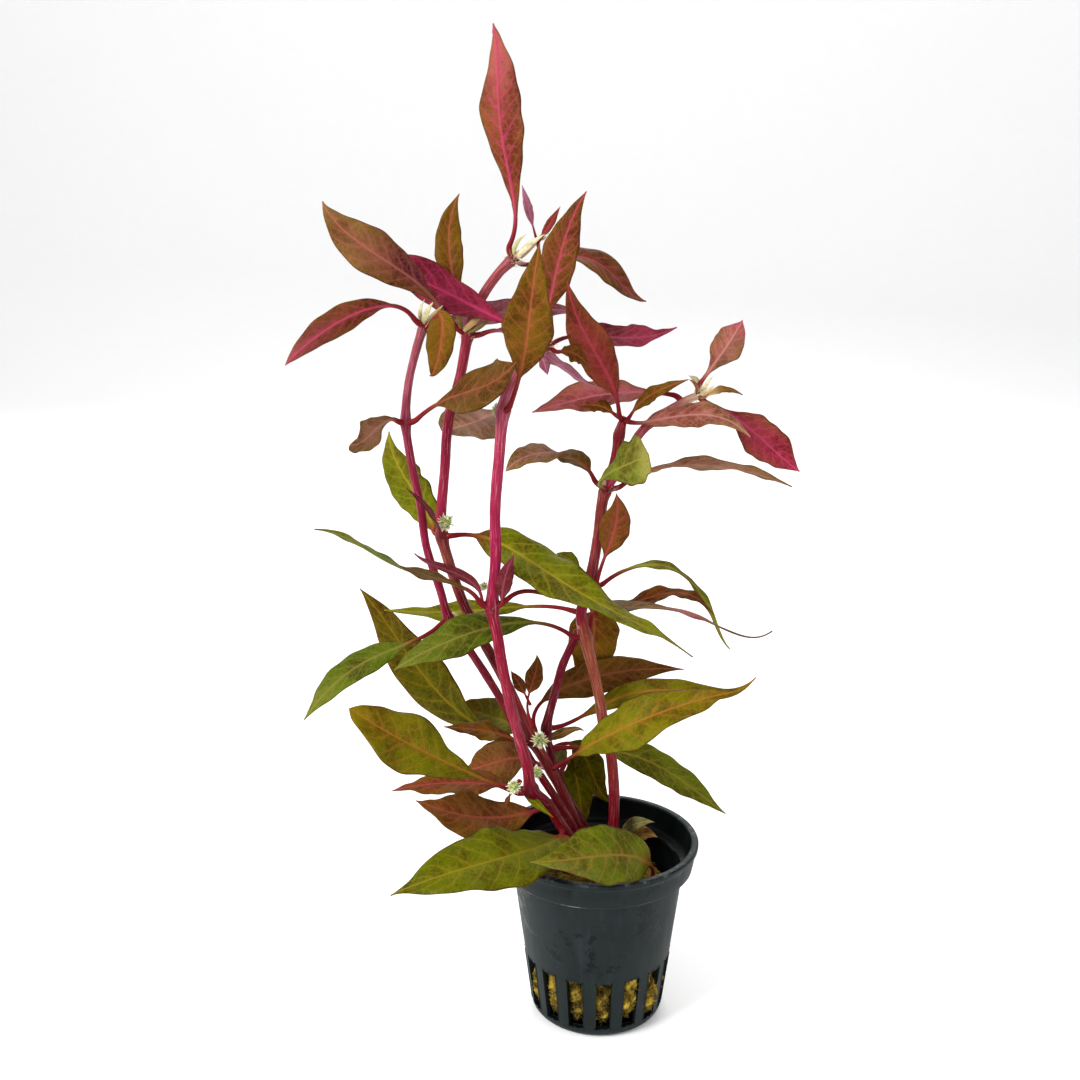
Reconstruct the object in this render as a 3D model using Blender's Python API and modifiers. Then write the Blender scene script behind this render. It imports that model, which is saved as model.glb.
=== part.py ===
"""Alternanthera reineckii, a red aquarium stem plant, in the net pot it grows in.

Metres, +Z up. The origin is the centre of the pot's flat base, and the plant leans
towards -X as it grows. Lengths in the tables below are millimetres.
"""

import math

import bmesh
import bpy
import numpy as np
from mathutils import Matrix

MM = 0.001

# Net pot
POT_HEIGHT = 48.0
RIM_RADIUS = 26.0
LIP_WIDTH = 2.0
LIP_ROUNDING = 0.5
COLLAR_HEIGHT = 7.0
COLLAR_FOOT_RADIUS = 24.6
BODY_TOP_RADIUS = 22.3
BODY_FOOT_RADIUS = 17.4
FOOT_ROUNDING = 2.8
WALL = 1.1
FLOOR = 1.6
SLOTS = 16
SLOT_WIDTH = 4.0
SLOT_BOTTOM = 2.8
SLOT_TOP = 17.0
SLOT_DEPTH = 7.0
FIRST_SLOT_ANGLE = 5.5
TURN_STEPS = 48

# Growing medium
MEDIUM_TOP = 35.8
MEDIUM_TOP_RADIUS = 16.0
MEDIUM_STEPS = 24
MEDIUM_LUMPS = 0.04
MEDIUM_BASE_CLEARANCE = 0.4
MEDIUM_SIDE_CLEARANCE = 0.9

# Stems and leaves
TOUCH_GAP = 0.3
NODE_SWELLING = 1.35
LEAF_THICKNESS = 0.5
LEAF_FOLD = 0.14
PETIOLE_HALF_WIDTH = 0.55
TIP_HALF_WIDTH = 0.4
LEAF_ROWS = 10
LEAF_COLUMNS = 2

# Each stem: base radius, top radius, the numbers of its nodes, and the points it runs through.
STEMS = {
    "stem_left": (1.1, 1.0, (7, 12), [
        (0.5, 2, 36.8), (-2, 2, 41), (-10, 1, 56), (-18, -0.5, 70), (-24, 0, 83), (-29, 0, 92),
        (-34, 0, 100), (-38, -1, 107), (-40, -2, 115), (-43, -3, 126), (-44, -4, 136), (-46, -5, 148),
        (-47, -5, 157), (-46, -6, 166), (-44, -6, 174), (-42, -6, 180)]),
    "stem_tall": (1.5, 1.2, (4, 11, 16), [
        (0, 7, 36.8), (-6, 6, 49), (-10, 5, 59), (-13, 4, 65), (-17, 3, 73), (-20, 4, 79),
        (-23, 6, 85), (-27, 6, 93), (-31, 5, 101), (-35, 4, 110), (-38, 4, 119), (-40, 4, 127),
        (-40, 4, 134), (-39, 4, 144), (-38, 5, 156), (-35, 6, 167), (-33, 7, 177), (-30, 7, 185),
        (-26, 8, 191), (-22, 8, 195)]),
    "stem_front": (1.5, 1.3, (4, 10, 14), [
        (0, -2, 36.8), (-4, -3, 44), (-9, -4, 52), (-13, -5, 59), (-17, -7, 64), (-18, -8, 71),
        (-20, -9, 79), (-22, -10, 88), (-24, -11, 99), (-25, -12, 107), (-26, -13, 114), (-25, -14, 126),
        (-25, -14, 138), (-24, -14, 150), (-23, -13, 161), (-21, -12, 168), (-17, -10, 173),
        (-13, -8, 176)]),
    "stem_right": (1.5, 1.4, (7, 9), [
        (4, 2, 36.2), (4, 3, 50), (4, 4, 59), (3, 5, 69), (1, 5, 77), (0, 5, 84), (-2, 5, 93),
        (-4, 5, 101), (-5, 6, 107), (-3, 7, 114), (-1, 8, 126), (0, 8, 135), (1, 8, 139)]),
    "stem_young": (1.2, 1.1, (4,), [
        (2.5, 10.5, 36.8), (-5, 10, 48), (-11, 10, 60), (-13, 9, 68), (-14, 9, 74), (-12, 9, 83),
        (-10, 9, 91), (-8, 9, 96), (-5.6, 9.6, 101.5)]),
    "branch_upright": (1.2, 1.1, (), [
        (1.6, 8.6, 140.9), (3, 9, 146), (4, 10, 152), (5, 10, 156)]),
    "branch_side": (1.2, 1.0, (4,), [
        (3.8, 6.8, 143.2), (6, 6.6, 147.5), (9, 6, 153), (13, 5, 157), (19, 4, 161), (23, 3, 163)]),
    "bud_shoot": (0.9, 0.5, (), [
        (-20, 8, 196.2), (-19, 8, 197), (-17, 8, 199), (-14, 8, 200)]),
}

# Each leaf: the stem it grows from and the number of its point there, the points of its midrib,
# its full width, the share of its length that is stalk, where it is widest, the way its upper
# side looks at the base and at the tip, and how blunt it is at the base and at the tip.
PLAIN = (1.35, 1.05)
BLUNT_TIP = (1.0, 0.5)
BROAD_BASE = (0.7, 1.25)
FAN = (1.0, 0.6)
RHOMBIC = (1.05, 0.75)
LONG_BASE = (1.6, 1.0)
ROUND_TIP = (1.45, 0.75)
LEAVES = {
    "leaf_left_1": ("stem_left", 7, [(-44.5, -6, 103.5), (-55.5, -12, 100), (-64, -17, 95),
                    (-71, -20, 87)], 9, 0.22, 0.45, (-0.2, -0.6, 0.8), (-0.2, -0.6, 0.8), PLAIN),
    "leaf_left_2": ("stem_left", 12, [(-50.5, -8, 157.5), (-54, -14, 156.5), (-58, -20, 155)],
                    8, 0.14, 0.6, (-0.2, 0.9, 0.4), (-0.2, 0.9, 0.4), BLUNT_TIP),
    "leaf_left_3": ("stem_left", 12, [(-39.5, -9, 161.5), (-29, -18, 165), (-19, -28, 173.5)],
                    14, 0.2, 0.55, (0.1, -0.8, 0.6), (0.1, -0.8, 0.6), RHOMBIC),
    "leaf_left_4": ("stem_left", 15, [(-47, -12, 184.5), (-58.5, -18, 182), (-71.5, -20, 172)],
                    7.5, 0.22, 0.45, (0, 0.8, 0.6), (0, 0.8, 0.6), PLAIN),
    "leaf_left_5": ("stem_left", 15, [(-39, 9, 180), (-26.5, 21, 181.5), (-4, 30, 180.5)],
                    8, 0.14, 0.42, (0, 0.8, 0.5), (0, 0.8, 0.5), PLAIN),
    "leaf_left_6": ("stem_left", 15, [(-38, -8, 182.5), (-38, -8, 175.5), (-40.5, -8, 168.5)],
                    6.8, 0.14, 0.42, (0, -1, 0.1), (0, -1, 0.1), PLAIN),
    "leaf_tall_1": ("stem_tall", 4, [(-27.5, 9, 72), (-43, 16, 80.5), (-53, 18, 93),
                    (-64, 18, 109)], 13, 0.14, 0.5, (-0.4, -0.8, 0.5), (-0.4, -0.8, 0.5), PLAIN),
    "leaf_tall_2": ("stem_tall", 4, [(-16, 12, 79.5), (-8, 15, 84), (5.5, 16.5, 87.5),
                    (22, 16.5, 88.5)], 9.5, 0.2, 0.42, (0, -0.9, 0.4), (0, -0.9, 0.4), PLAIN),
    "leaf_tall_3": ("stem_tall", 3, [(-20.5, 9, 65.5), (-29, 13, 62), (-37, 18, 58)],
                    12, 0.14, 0.42, (0, -1, 0.5), (0, -1, 0.5), PLAIN),
    "leaf_tall_6": ("stem_tall", 11, [(-43, 6, 130), (-48.5, 7.5, 139.5), (-53, 6, 153)],
                    10.5, 0.05, 0.45, (-0.3, -1, 0.2), (-0.3, -1, 0.2), (0.85, 1.1)),
    "leaf_tall_7": ("stem_tall", 11, [(-30, 0, 128), (-15, -8, 122.5), (1, -16, 115),
                    (21.5, -20, 104.5)], 13.5, 0.1, 0.32, (0.2, -0.8, 0.6), (0, 0.1, 1), PLAIN),
    "leaf_tall_9": ("stem_tall", 16, [(-40.5, 1, 185.5), (-47, -8, 192.5), (-57, -13, 200),
                    (-62.5, -16, 207.5)], 10.5, 0.1, 0.62, (-0.3, -0.8, 0.5), (-0.3, -0.8, 0.5), PLAIN),
    "leaf_tall_10": ("stem_tall", 16, [(-24, 4, 178), (-13, 2, 172), (-2, 0, 165.5)],
                     8, 0.14, 0.42, (0.3, 0.5, 0.8), (0.3, 0.5, 0.8), PLAIN),
    "leaf_tall_11": ("stem_tall", 16, [(-35.5, 8, 183), (-38, 12, 197), (-35.5, 13, 210)],
                     7, 0.14, 0.55, (0, -1, 0.2), (0, -1, 0.2), PLAIN),
    "leaf_tall_12": ("stem_tall", 19, [(-21.5, 7, 202.5), (-23.5, 6, 222), (-26, 3, 247)],
                     11.5, 0.1, 0.57, (0.4, 0.9, 0.1), (0.4, 0.9, 0.1), LONG_BASE),
    "leaf_tall_13": ("stem_tall", 19, [(-18, 14, 193.5), (-5.5, 20, 195), (2.5, 24, 190),
                     (10.5, 27, 184)], 10.5, 0.2, 0.55, (0.1, -0.6, 0.8), (0.1, -0.6, 0.8), PLAIN),
    "leaf_front_1": ("stem_front", 4, [(-24.5, -10, 66), (-40, -16, 76), (-60, -20, 90)],
                     15, 0.2, 0.58, (-0.2, -0.6, 0.8), (-0.2, -0.6, 0.8), ROUND_TIP),
    "leaf_front_2": ("stem_front", 4, [(-28, 0, 62), (-38.5, 0, 62), (-53.5, -1, 60)],
                     10, 0.14, 0.42, (0, -0.3, 0.9), (0, -0.3, 0.9), PLAIN),
    "leaf_front_3": ("stem_front", 3, [(-20, -6, 56.5), (-31, -12, 58.5), (-45, -16, 64.5)],
                     14, 0.05, 0.5, (0, -0.5, 0.8), (0, -0.5, 0.8), (0.8, 1.2)),
    "leaf_front_4": ("stem_front", 10, [(-31, -16, 118.5), (-40, -20, 123), (-50, -22, 127.5),
                     (-65.5, -24, 135)], 8, 0.14, 0.42, (0, -0.5, 0.85), (0, 0.7, 0.7), PLAIN),
    "leaf_front_5": ("stem_front", 10, [(-18.5, -10, 117), (-2.5, -6, 112.5), (13.5, -4, 111.5),
                     (24.5, -4, 109), (42, -4, 106)], 7, 0.14, 0.42, (0, -0.2, 1), (0, 0.2, 1), PLAIN),
    "leaf_front_8": ("stem_front", 14, [(-19.5, -17, 167.5), (-16.5, -24, 181.5),
                     (-14, -26, 198.5)], 11, 0.22, 0.42, (0, -1, 0.3), (0, -1, 0.3), PLAIN),
    "leaf_front_9": ("stem_front", 14, [(-27, 0, 158.5), (-34, 14, 154), (-42, 22.5, 151)],
                     13, 0.14, 0.55, (0, 0.9, 0.5), (0, 0.9, 0.5), BLUNT_TIP),
    "leaf_front_10": ("stem_front", 17, [(-13, -6, 184.5), (-10, -4, 197.5), (-4.5, -2, 210)],
                      8.5, 0.14, 0.42, (0.2, -1, 0.3), (0.2, -1, 0.3), PLAIN),
    "leaf_front_11": ("stem_front", 17, [(-24, -3, 181), (-39.5, 3, 188), (-62, 10, 196.5)],
                      11, 0.14, 0.5, (-0.2, 0.9, 0.45), (-0.2, 0.9, 0.45), PLAIN),
    "leaf_front_12": ("stem_front", 17, [(-7.5, 2, 177), (4, 12, 176), (18, 18, 178)],
                      8.5, 0.14, 0.5, (0, 0.8, 0.6), (0, 0.8, 0.6), PLAIN),
    "leaf_right_1": ("stem_right", 7, [(-12.5, 1, 105), (-25, -6, 107), (-36.5, -11, 104.5),
                     (-50, -13, 97.5)], 10, 0.2, 0.55, (0, -0.7, 0.7), (0, -0.7, 0.7), PLAIN),
    "leaf_right_2": ("stem_right", 7, [(-2, 13, 105.5), (-2, 19, 92), (-3.5, 22, 79)],
                     13, 0.14, 0.42, (0, -1, 0.3), (0, -1, 0.3), PLAIN),
    "leaf_right_3": ("stem_right", 8, [(-14.5, 11, 107), (-29, 14, 105), (-45, 14, 104),
                     (-56.5, 12, 105)], 7, 0.25, 0.42, (0, -0.5, 0.85), (0, -0.5, 0.85), PLAIN),
    "leaf_right_4": ("stem_right", 9, [(4.5, 8, 117), (15.5, 10, 118.5), (26.5, 12, 109),
                     (33.5, 12, 96)], 5, 0.14, 0.42, (0, -0.2, 1), (0, -0.2, 1), PLAIN),
    "leaf_right_5": ("stem_right", 9, [(0.5, 4, 110), (10, 4, 111), (22.5, 4, 112.5),
                     (28.5, 4, 107.5)], 6, 0.14, 0.42, (0, -0.3, 1), (0, -0.3, 1), PLAIN),
    "leaf_right_6": ("stem_right", 9, [(0.5, 5, 121), (3, 4, 129), (3.5, 3, 138.5)],
                     8, 0.32, 0.48, (0.1, -1, 0.2), (0.1, -1, 0.2), PLAIN),
    "leaf_right_7": ("stem_right", 12, [(-3.5, 8, 143.5), (-13.5, 4, 148.5), (-23.5, 0, 144.5)],
                     11, 0.14, 0.42, (0, 0.9, 0.5), (0, -0.75, 0.6), (1.1, 0.85)),
    "leaf_right_8": ("stem_right", 12, [(-0.5, 1, 143), (5, -6, 148), (10.5, -10, 152)],
                     13, 0.06, 0.8, (-0.1, -0.9, 0.5), (-0.1, -0.9, 0.5), FAN),
    "leaf_right_9": ("stem_right", 12, [(9.5, 10, 142), (25, 12, 144.5), (47.5, 12, 139)],
                     8.5, 0.14, 0.42, (0, 0.5, 0.87), (0, 0.5, 0.87), PLAIN),
    "leaf_upright_1": ("branch_upright", 3, [(3, 5, 162.5), (-3, -2, 175), (-8.5, -8, 190)],
                       9.5, 0.16, 0.44, (0.2, -1, 0.1), (0.2, -1, 0.1), PLAIN),
    "leaf_upright_2": ("branch_upright", 3, [(9, 4, 156), (20.5, -4, 159), (34, -10, 155)],
                       7.5, 0.14, 0.5, (0, -0.7, 0.7), (0, -0.7, 0.7), PLAIN),
    "leaf_side_1": ("branch_side", 4, [(11.5, 8, 163), (-1, 14, 161.5), (-18, 18, 156.5)],
                    10.5, 0.14, 0.5, (0, 0.8, 0.6), (0, 0.8, 0.6), PLAIN),
    "leaf_side_2": ("branch_side", 5, [(30.5, 2, 158.5), (38.5, 0, 152.5), (47, -2, 145.5)],
                    10, 0.14, 0.55, (0.1, 1, 0.3), (0.1, 1, 0.3), PLAIN),
    "leaf_side_3": ("branch_side", 5, [(24.5, 4, 167.5), (29, 6, 173.5), (33, 6, 180.5)],
                    8, 0.14, 0.62, (0, 1, 0.2), (0, 1, 0.2), PLAIN),
    "leaf_low_1": ("stem_front", 2, [(-12, -16, 54), (-28.5, -33, 56.5), (-48, -38, 51)],
                   19, 0.05, 0.45, (-0.1, -0.5, 0.9), (-0.1, -0.5, 0.9), BROAD_BASE),
    "leaf_low_2": (None, 0, [(11, -8, 36.4), (13.5, -11, 45.5), (9.5, -17, 52.5), (-2, -28, 58),
                   (-15.5, -36, 59.3)], 16, 0.26, 0.42, (0.3, -0.7, 0.5), (0, -0.6, 0.8), (0.6, 1.15)),
    "leaf_young_1": ("stem_tall", 3, [(-4.5, -4, 73.5), (11, -12, 85.5), (32, -16, 94.5)],
                     13.5, 0.16, 0.45, (0.2, -0.6, 0.8), (0.2, -0.6, 0.8), PLAIN),
    "leaf_young_2": ("stem_young", 4, [(-6.5, 13, 75), (10.5, 11, 84), (27, 8, 85),
                     (39.5, 4, 91)], 6.5, 0.14, 0.42, (0, -0.9, 0.4), (0, -0.9, 0.4), PLAIN),
    "leaf_young_3": ("stem_young", 3, [(-2.5, 12, 67.5), (13.5, 14, 63), (24.5, 14, 56),
                     (34, 12, 49.5)], 9.5, 0.14, 0.5, (0.2, -0.6, 0.8), (0.2, -0.6, 0.8), PLAIN),
    "leaf_young_4": ("stem_young", 3, [(-6.5, 14, 67.5), (-2, 17, 58.5), (3.5, 18, 49)],
                     8, 0.14, 0.42, (0, -1, 0.3), (0, -1, 0.3), PLAIN),
}

# Each flower head: its centre and its radius.
FLOWER_HEADS = {
    "flower_head_1": ((-15, -3.5, 76), 2.2),
    "flower_head_2": ((-16, -3.4, 67.2), 1.7),
    "flower_head_3": ((-21, -12, 67), 1.8),
    "flower_head_4": ((-38.5, 0, 131.5), 2.0),
}

# Colour and roughness, all of them with no metal.
LOOKS = {
    "pot_plastic": ((0.035, 0.042, 0.055), 0.45),
    "rock_wool": ((0.30, 0.20, 0.06), 0.95),
    "stem_red": ((0.36, 0.05, 0.12), 0.5),
    "leaf_olive": ((0.22, 0.22, 0.04), 0.5),
    "leaf_brown": ((0.27, 0.13, 0.08), 0.5),
    "leaf_rose": ((0.45, 0.13, 0.15), 0.5),
    "flower_cream": ((0.66, 0.68, 0.45), 0.8),
}


def clear_scene():
    for old in list(bpy.data.objects):
        bpy.data.objects.remove(old, do_unlink=True)


def new_collection(name):
    made = bpy.data.collections.new(name)
    bpy.context.scene.collection.children.link(made)
    return made


def new_material(name):
    colour, roughness = LOOKS[name]
    made = bpy.data.materials.new(name)
    made.use_nodes = True
    made.diffuse_color = (*colour, 1.0)
    shader = made.node_tree.nodes["Principled BSDF"]
    shader.inputs["Base Color"].default_value = (*colour, 1.0)
    shader.inputs["Roughness"].default_value = roughness
    shader.inputs["Metallic"].default_value = 0.0
    return made


def mesh_object(name, bm, collection, material):
    """An object made from a bmesh whose sizes are millimetres."""
    bmesh.ops.scale(bm, vec=(MM, MM, MM), verts=bm.verts)
    for face in bm.faces:
        face.smooth = True
    mesh = bpy.data.meshes.new(name)
    bm.to_mesh(mesh)
    bm.free()
    made = bpy.data.objects.new(name, mesh)
    if material:
        made.data.materials.append(material)
    collection.objects.link(made)
    return made


def arc(centre, radius, start, end, steps):
    """Points (r, z) of a round corner in a turned profile, angles in degrees."""
    turns = [math.radians(start + (end - start) * i / steps) for i in range(steps + 1)]
    return [(centre[0] + radius * math.cos(a), centre[1] + radius * math.sin(a)) for a in turns]


def inner_radius(z):
    """Radius of the pot's inner wall at height z, below the collar's step."""
    rise = (z - FLOOR) / (POT_HEIGHT - COLLAR_HEIGHT - FLOOR)
    return BODY_FOOT_RADIUS - WALL + (BODY_TOP_RADIUS - BODY_FOOT_RADIUS) * rise


def pot_profile():
    """The pot's section: from the middle of the floor up the inside, over the lip and down the outside."""
    step_z = POT_HEIGHT - COLLAR_HEIGHT
    inside = [(0, FLOOR), (inner_radius(FLOOR) - 1.0, FLOOR), (inner_radius(FLOOR + 1.0), FLOOR + 1.0)]
    inside += [(inner_radius(step_z - 1.5), step_z - 1.5), (COLLAR_FOOT_RADIUS - 1.6, step_z)]
    inside += [(RIM_RADIUS - LIP_WIDTH, POT_HEIGHT - 0.4)]
    lip = arc((RIM_RADIUS - LIP_ROUNDING, POT_HEIGHT - LIP_ROUNDING), LIP_ROUNDING, 90, 0, 2)
    collar = [(COLLAR_FOOT_RADIUS, step_z + 0.2), (COLLAR_FOOT_RADIUS - 0.4, step_z - 0.2)]
    body = [(BODY_TOP_RADIUS + 0.2, step_z - 0.4), (BODY_TOP_RADIUS, step_z - 0.9)]
    foot = arc((BODY_FOOT_RADIUS - FOOT_ROUNDING, FOOT_ROUNDING), FOOT_ROUNDING, 0, -90, 3)
    return inside + [(RIM_RADIUS - LIP_WIDTH + 0.4, POT_HEIGHT)] + lip + collar + body + foot + [(0, 0)]


def turned(name, profile, steps, collection, material):
    """A solid turned about Z from a profile of (r, z) points whose two ends are on the axis."""
    bm = bmesh.new()
    points = [bm.verts.new((r, 0, z)) for r, z in profile]
    for first, second in zip(points, points[1:]):
        bm.edges.new((first, second))
    made = mesh_object(name, bm, collection, material)
    screw = made.modifiers.new("turn", "SCREW")
    screw.steps = steps
    screw.render_steps = steps
    screw.use_merge_vertices = True
    screw.merge_threshold = 0.00005
    screw.use_smooth_shade = True
    return made


def slot_cutters(collection):
    """One box for each slot in the side wall, all in one mesh."""
    bm = bmesh.new()
    middle_z = (SLOT_BOTTOM + SLOT_TOP) / 2
    for number in range(SLOTS):
        made = bmesh.ops.create_cube(bm, size=1.0)["verts"]
        bmesh.ops.scale(bm, vec=(SLOT_DEPTH, SLOT_WIDTH, SLOT_TOP - SLOT_BOTTOM), verts=made)
        bmesh.ops.translate(bm, vec=(BODY_FOOT_RADIUS + 1.0, 0, middle_z), verts=made)
        angle = math.radians(FIRST_SLOT_ANGLE - 90 + 360 * number / SLOTS)
        bmesh.ops.rotate(bm, cent=(0, 0, 0), matrix=Matrix.Rotation(angle, 3, "Z"), verts=made)
    made = mesh_object("slot_cutters", bm, collection, None)
    made.hide_render = True
    made.display_type = "WIRE"
    return made


def build_pot(collection, cutters):
    pot = turned("pot", pot_profile(), TURN_STEPS, collection, new_material("pot_plastic"))
    cut = pot.modifiers.new("slots", "BOOLEAN")
    cut.operation = "DIFFERENCE"
    cut.solver = "EXACT"
    cut.object = slot_cutters(cutters)


def build_medium(collection):
    """The rock wool block: it fills the pot's foot and stands a little clear of the wall above."""
    foot = inner_radius(FLOOR + 2.0) - MEDIUM_SIDE_CLEARANCE
    base = FLOOR + MEDIUM_BASE_CLEARANCE
    profile = [(0, MEDIUM_TOP), (7.0, MEDIUM_TOP), (MEDIUM_TOP_RADIUS - 1.5, MEDIUM_TOP - 0.4)]
    profile += [(MEDIUM_TOP_RADIUS, MEDIUM_TOP - 2.0), (MEDIUM_TOP_RADIUS + 0.3, 27.0)]
    profile += [(inner_radius(SLOT_TOP) - MEDIUM_SIDE_CLEARANCE, SLOT_TOP), (foot, FLOOR + 2.0)]
    profile += [(foot - 1.2, base), (0, base)]
    bm = bmesh.new()
    points = [bm.verts.new((r, 0, z)) for r, z in profile]
    edges = [bm.edges.new(pair) for pair in zip(points, points[1:])]
    bmesh.ops.spin(bm, geom=points + edges, cent=(0, 0, 0), axis=(0, 0, 1), dvec=(0, 0, 0),
                   angle=math.tau, steps=MEDIUM_STEPS, use_merge=True)
    bmesh.ops.remove_doubles(bm, verts=bm.verts, dist=0.01)
    bmesh.ops.recalc_face_normals(bm, faces=bm.faces)
    for vert in bm.verts:
        turn = math.atan2(vert.co.y, vert.co.x)
        above = max(0.0, min(1.0, (vert.co.z - SLOT_TOP) / 15.0))
        lump = 1 + MEDIUM_LUMPS * above * (math.sin(3 * turn + 1) + 0.6 * math.sin(5 * turn))
        vert.co.x *= lump
        vert.co.y *= lump
    mesh_object("growing_medium", bm, collection, new_material("rock_wool"))


def stem_radii(name):
    """The stem's radius at each of its points, thicker at the nodes."""
    foot, top, nodes, points = STEMS[name]
    last = len(points) - 1
    radii = [foot + (top - foot) * i / last for i in range(len(points))]
    return [r * NODE_SWELLING if i in nodes else r for i, r in enumerate(radii)]


def build_stem(name, collection, material):
    curve = bpy.data.curves.new(name, "CURVE")
    curve.dimensions = "3D"
    curve.bevel_depth = MM
    curve.bevel_resolution = 2
    curve.use_fill_caps = True
    points = STEMS[name][3]
    spline = curve.splines.new("POLY")
    spline.points.add(len(points) - 1)
    for point, place, radius in zip(spline.points, points, stem_radii(name)):
        point.co = (*(MM * value for value in place), 1.0)
        point.radius = radius
    curve.materials.append(material)
    collection.objects.link(bpy.data.objects.new(name, curve))


def unit(vector):
    return vector / np.linalg.norm(vector, axis=-1, keepdims=True)


def leaf_foot(stem, number, first):
    """Where a leaf's stalk starts: beside the stem's node, a small gap clear of its surface."""
    points = np.array(STEMS[stem][3], float)
    before, after = points[max(number - 1, 0)], points[min(number + 1, len(points) - 1)]
    along = unit(after - before)
    out = first - points[number]
    out = unit(out - along * (out @ along))
    return points[number] + out * (stem_radii(stem)[number] + TOUCH_GAP + LEAF_THICKNESS)


def smooth_run(points, shares):
    """The one polynomial through all the points, read at these shares of the run's length."""
    lengths = np.linalg.norm(np.diff(points, axis=0), axis=1)
    knots = np.concatenate([[0.0], np.cumsum(lengths)]) / lengths.sum()
    run = np.zeros((len(shares), 3))
    for i, point in enumerate(points):
        others = np.delete(knots, i)
        weights = np.prod((shares[:, None] - others) / (knots[i] - others), axis=1)
        run += weights[:, None] * point
    return run


def build_leaf(name, collection, material):
    """A leaf: a grid laid along the midrib, folded up a little to both sides, then given thickness.

    Its half width is sin(pi t^k) to a power, where t runs along the blade and k puts the widest
    place where the table says.
    """
    stem, number, via, width, stalk, widest, face_base, face_tip, powers = LEAVES[name]
    points = np.array(via, float)
    if stem:
        points = np.vstack([leaf_foot(stem, number, points[0]), points])
    bm = bmesh.new()
    bmesh.ops.create_grid(bm, x_segments=LEAF_COLUMNS, y_segments=LEAF_ROWS, size=1.0)
    place = np.array([vert.co for vert in bm.verts])
    across, share = place[:, 0], (place[:, 1] + 1) / 2
    step = 0.001
    midrib = smooth_run(points, share)
    along = unit(smooth_run(points, share + step) - smooth_run(points, share - step))
    face = (1 - share)[:, None] * unit(np.array(face_base, float))
    face += share[:, None] * unit(np.array(face_tip, float))
    side = unit(np.cross(face, along))
    upper = np.cross(along, side)
    blade = np.clip((share - stalk) / (1 - stalk), 0.0, 1.0)
    power = powers[0] + (powers[1] - powers[0]) * blade
    swell = np.sin(np.pi * blade ** (math.log(0.5) / math.log(widest)))
    half = np.maximum(0.0, swell) ** power * width / 2
    half = np.maximum(half, np.where(share < stalk, PETIOLE_HALF_WIDTH, TIP_HALF_WIDTH))
    lift = LEAF_FOLD * half * np.abs(across)
    shaped = midrib + side * (half * across)[:, None] + upper * lift[:, None]
    for vert, position in zip(bm.verts, shaped):
        vert.co = position
    leaf = mesh_object(name, bm, collection, material)
    thicken = leaf.modifiers.new("thickness", "SOLIDIFY")
    thicken.thickness = LEAF_THICKNESS * MM
    thicken.offset = 0.0


def build_flower_head(name, collection, material):
    centre, radius = FLOWER_HEADS[name]
    bm = bmesh.new()
    bmesh.ops.create_icosphere(bm, subdivisions=1, radius=radius)
    bmesh.ops.translate(bm, vec=centre, verts=bm.verts)
    mesh_object(name, bm, collection, material)


def leaf_look(name):
    """Lower leaves are olive, middle ones brown and the top ones rose."""
    height = max(z for _, _, z in LEAVES[name][2])
    if height < 96:
        return "leaf_olive"
    return "leaf_brown" if height < 165 else "leaf_rose"


def main():
    clear_scene()
    plant = new_collection("alternanthera_reineckii")
    cutters = new_collection("cutters")
    build_pot(plant, cutters)
    build_medium(plant)
    stem_material = new_material("stem_red")
    for name in STEMS:
        build_stem(name, plant, stem_material)
    leaf_materials = {name: new_material(name) for name in ("leaf_olive", "leaf_brown", "leaf_rose")}
    for name in LEAVES:
        build_leaf(name, plant, leaf_materials[leaf_look(name)])
    flower_material = new_material("flower_cream")
    for name in FLOWER_HEADS:
        build_flower_head(name, plant, flower_material)


main()
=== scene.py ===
import math

import bpy
import numpy as np
from bpy.props import FloatProperty, FloatVectorProperty, IntProperty, PointerProperty
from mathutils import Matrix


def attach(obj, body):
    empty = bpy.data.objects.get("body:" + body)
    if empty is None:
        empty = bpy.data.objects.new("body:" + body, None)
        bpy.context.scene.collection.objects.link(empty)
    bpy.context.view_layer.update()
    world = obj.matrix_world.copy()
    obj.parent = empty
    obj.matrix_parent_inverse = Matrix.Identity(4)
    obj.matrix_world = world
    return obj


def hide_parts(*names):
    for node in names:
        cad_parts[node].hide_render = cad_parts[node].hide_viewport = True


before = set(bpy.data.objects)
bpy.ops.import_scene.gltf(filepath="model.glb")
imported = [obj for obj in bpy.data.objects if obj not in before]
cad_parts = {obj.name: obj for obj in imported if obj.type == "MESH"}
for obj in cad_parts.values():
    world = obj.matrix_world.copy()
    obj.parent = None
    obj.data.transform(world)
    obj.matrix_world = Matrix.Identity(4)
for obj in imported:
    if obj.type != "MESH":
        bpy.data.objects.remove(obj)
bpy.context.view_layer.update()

bl_info = {
    "name": "Alternanthera in a net pot",
    "version": (1, 0, 0),
    "blender": (4, 5, 0),
    "location": "View3D > Sidebar > Plant",
    "description": "Builds the leaves, stems, flower heads, rock wool and pot of a red aquarium plant",
    "category": "Add Mesh",
}

# Lengths in the tables are millimetres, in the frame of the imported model: the origin is the
# centre of the pot's flat base and +Z is up. Colours are written as the screen shows them.
MM = 0.001


def tone(red, green, blue, gain=0.55):
    """A screen colour, 0 to 255 each, as the linear colour that a shader takes. The lamps are
    bright enough to make a white floor white, so the plant's colours are taken down by gain."""
    screen = np.array([red, green, blue]) / 255.0
    linear = np.where(screen <= 0.04045, screen / 12.92, ((screen + 0.055) / 1.055) ** 2.4)
    return tuple(float(value) * gain for value in linear)


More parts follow.
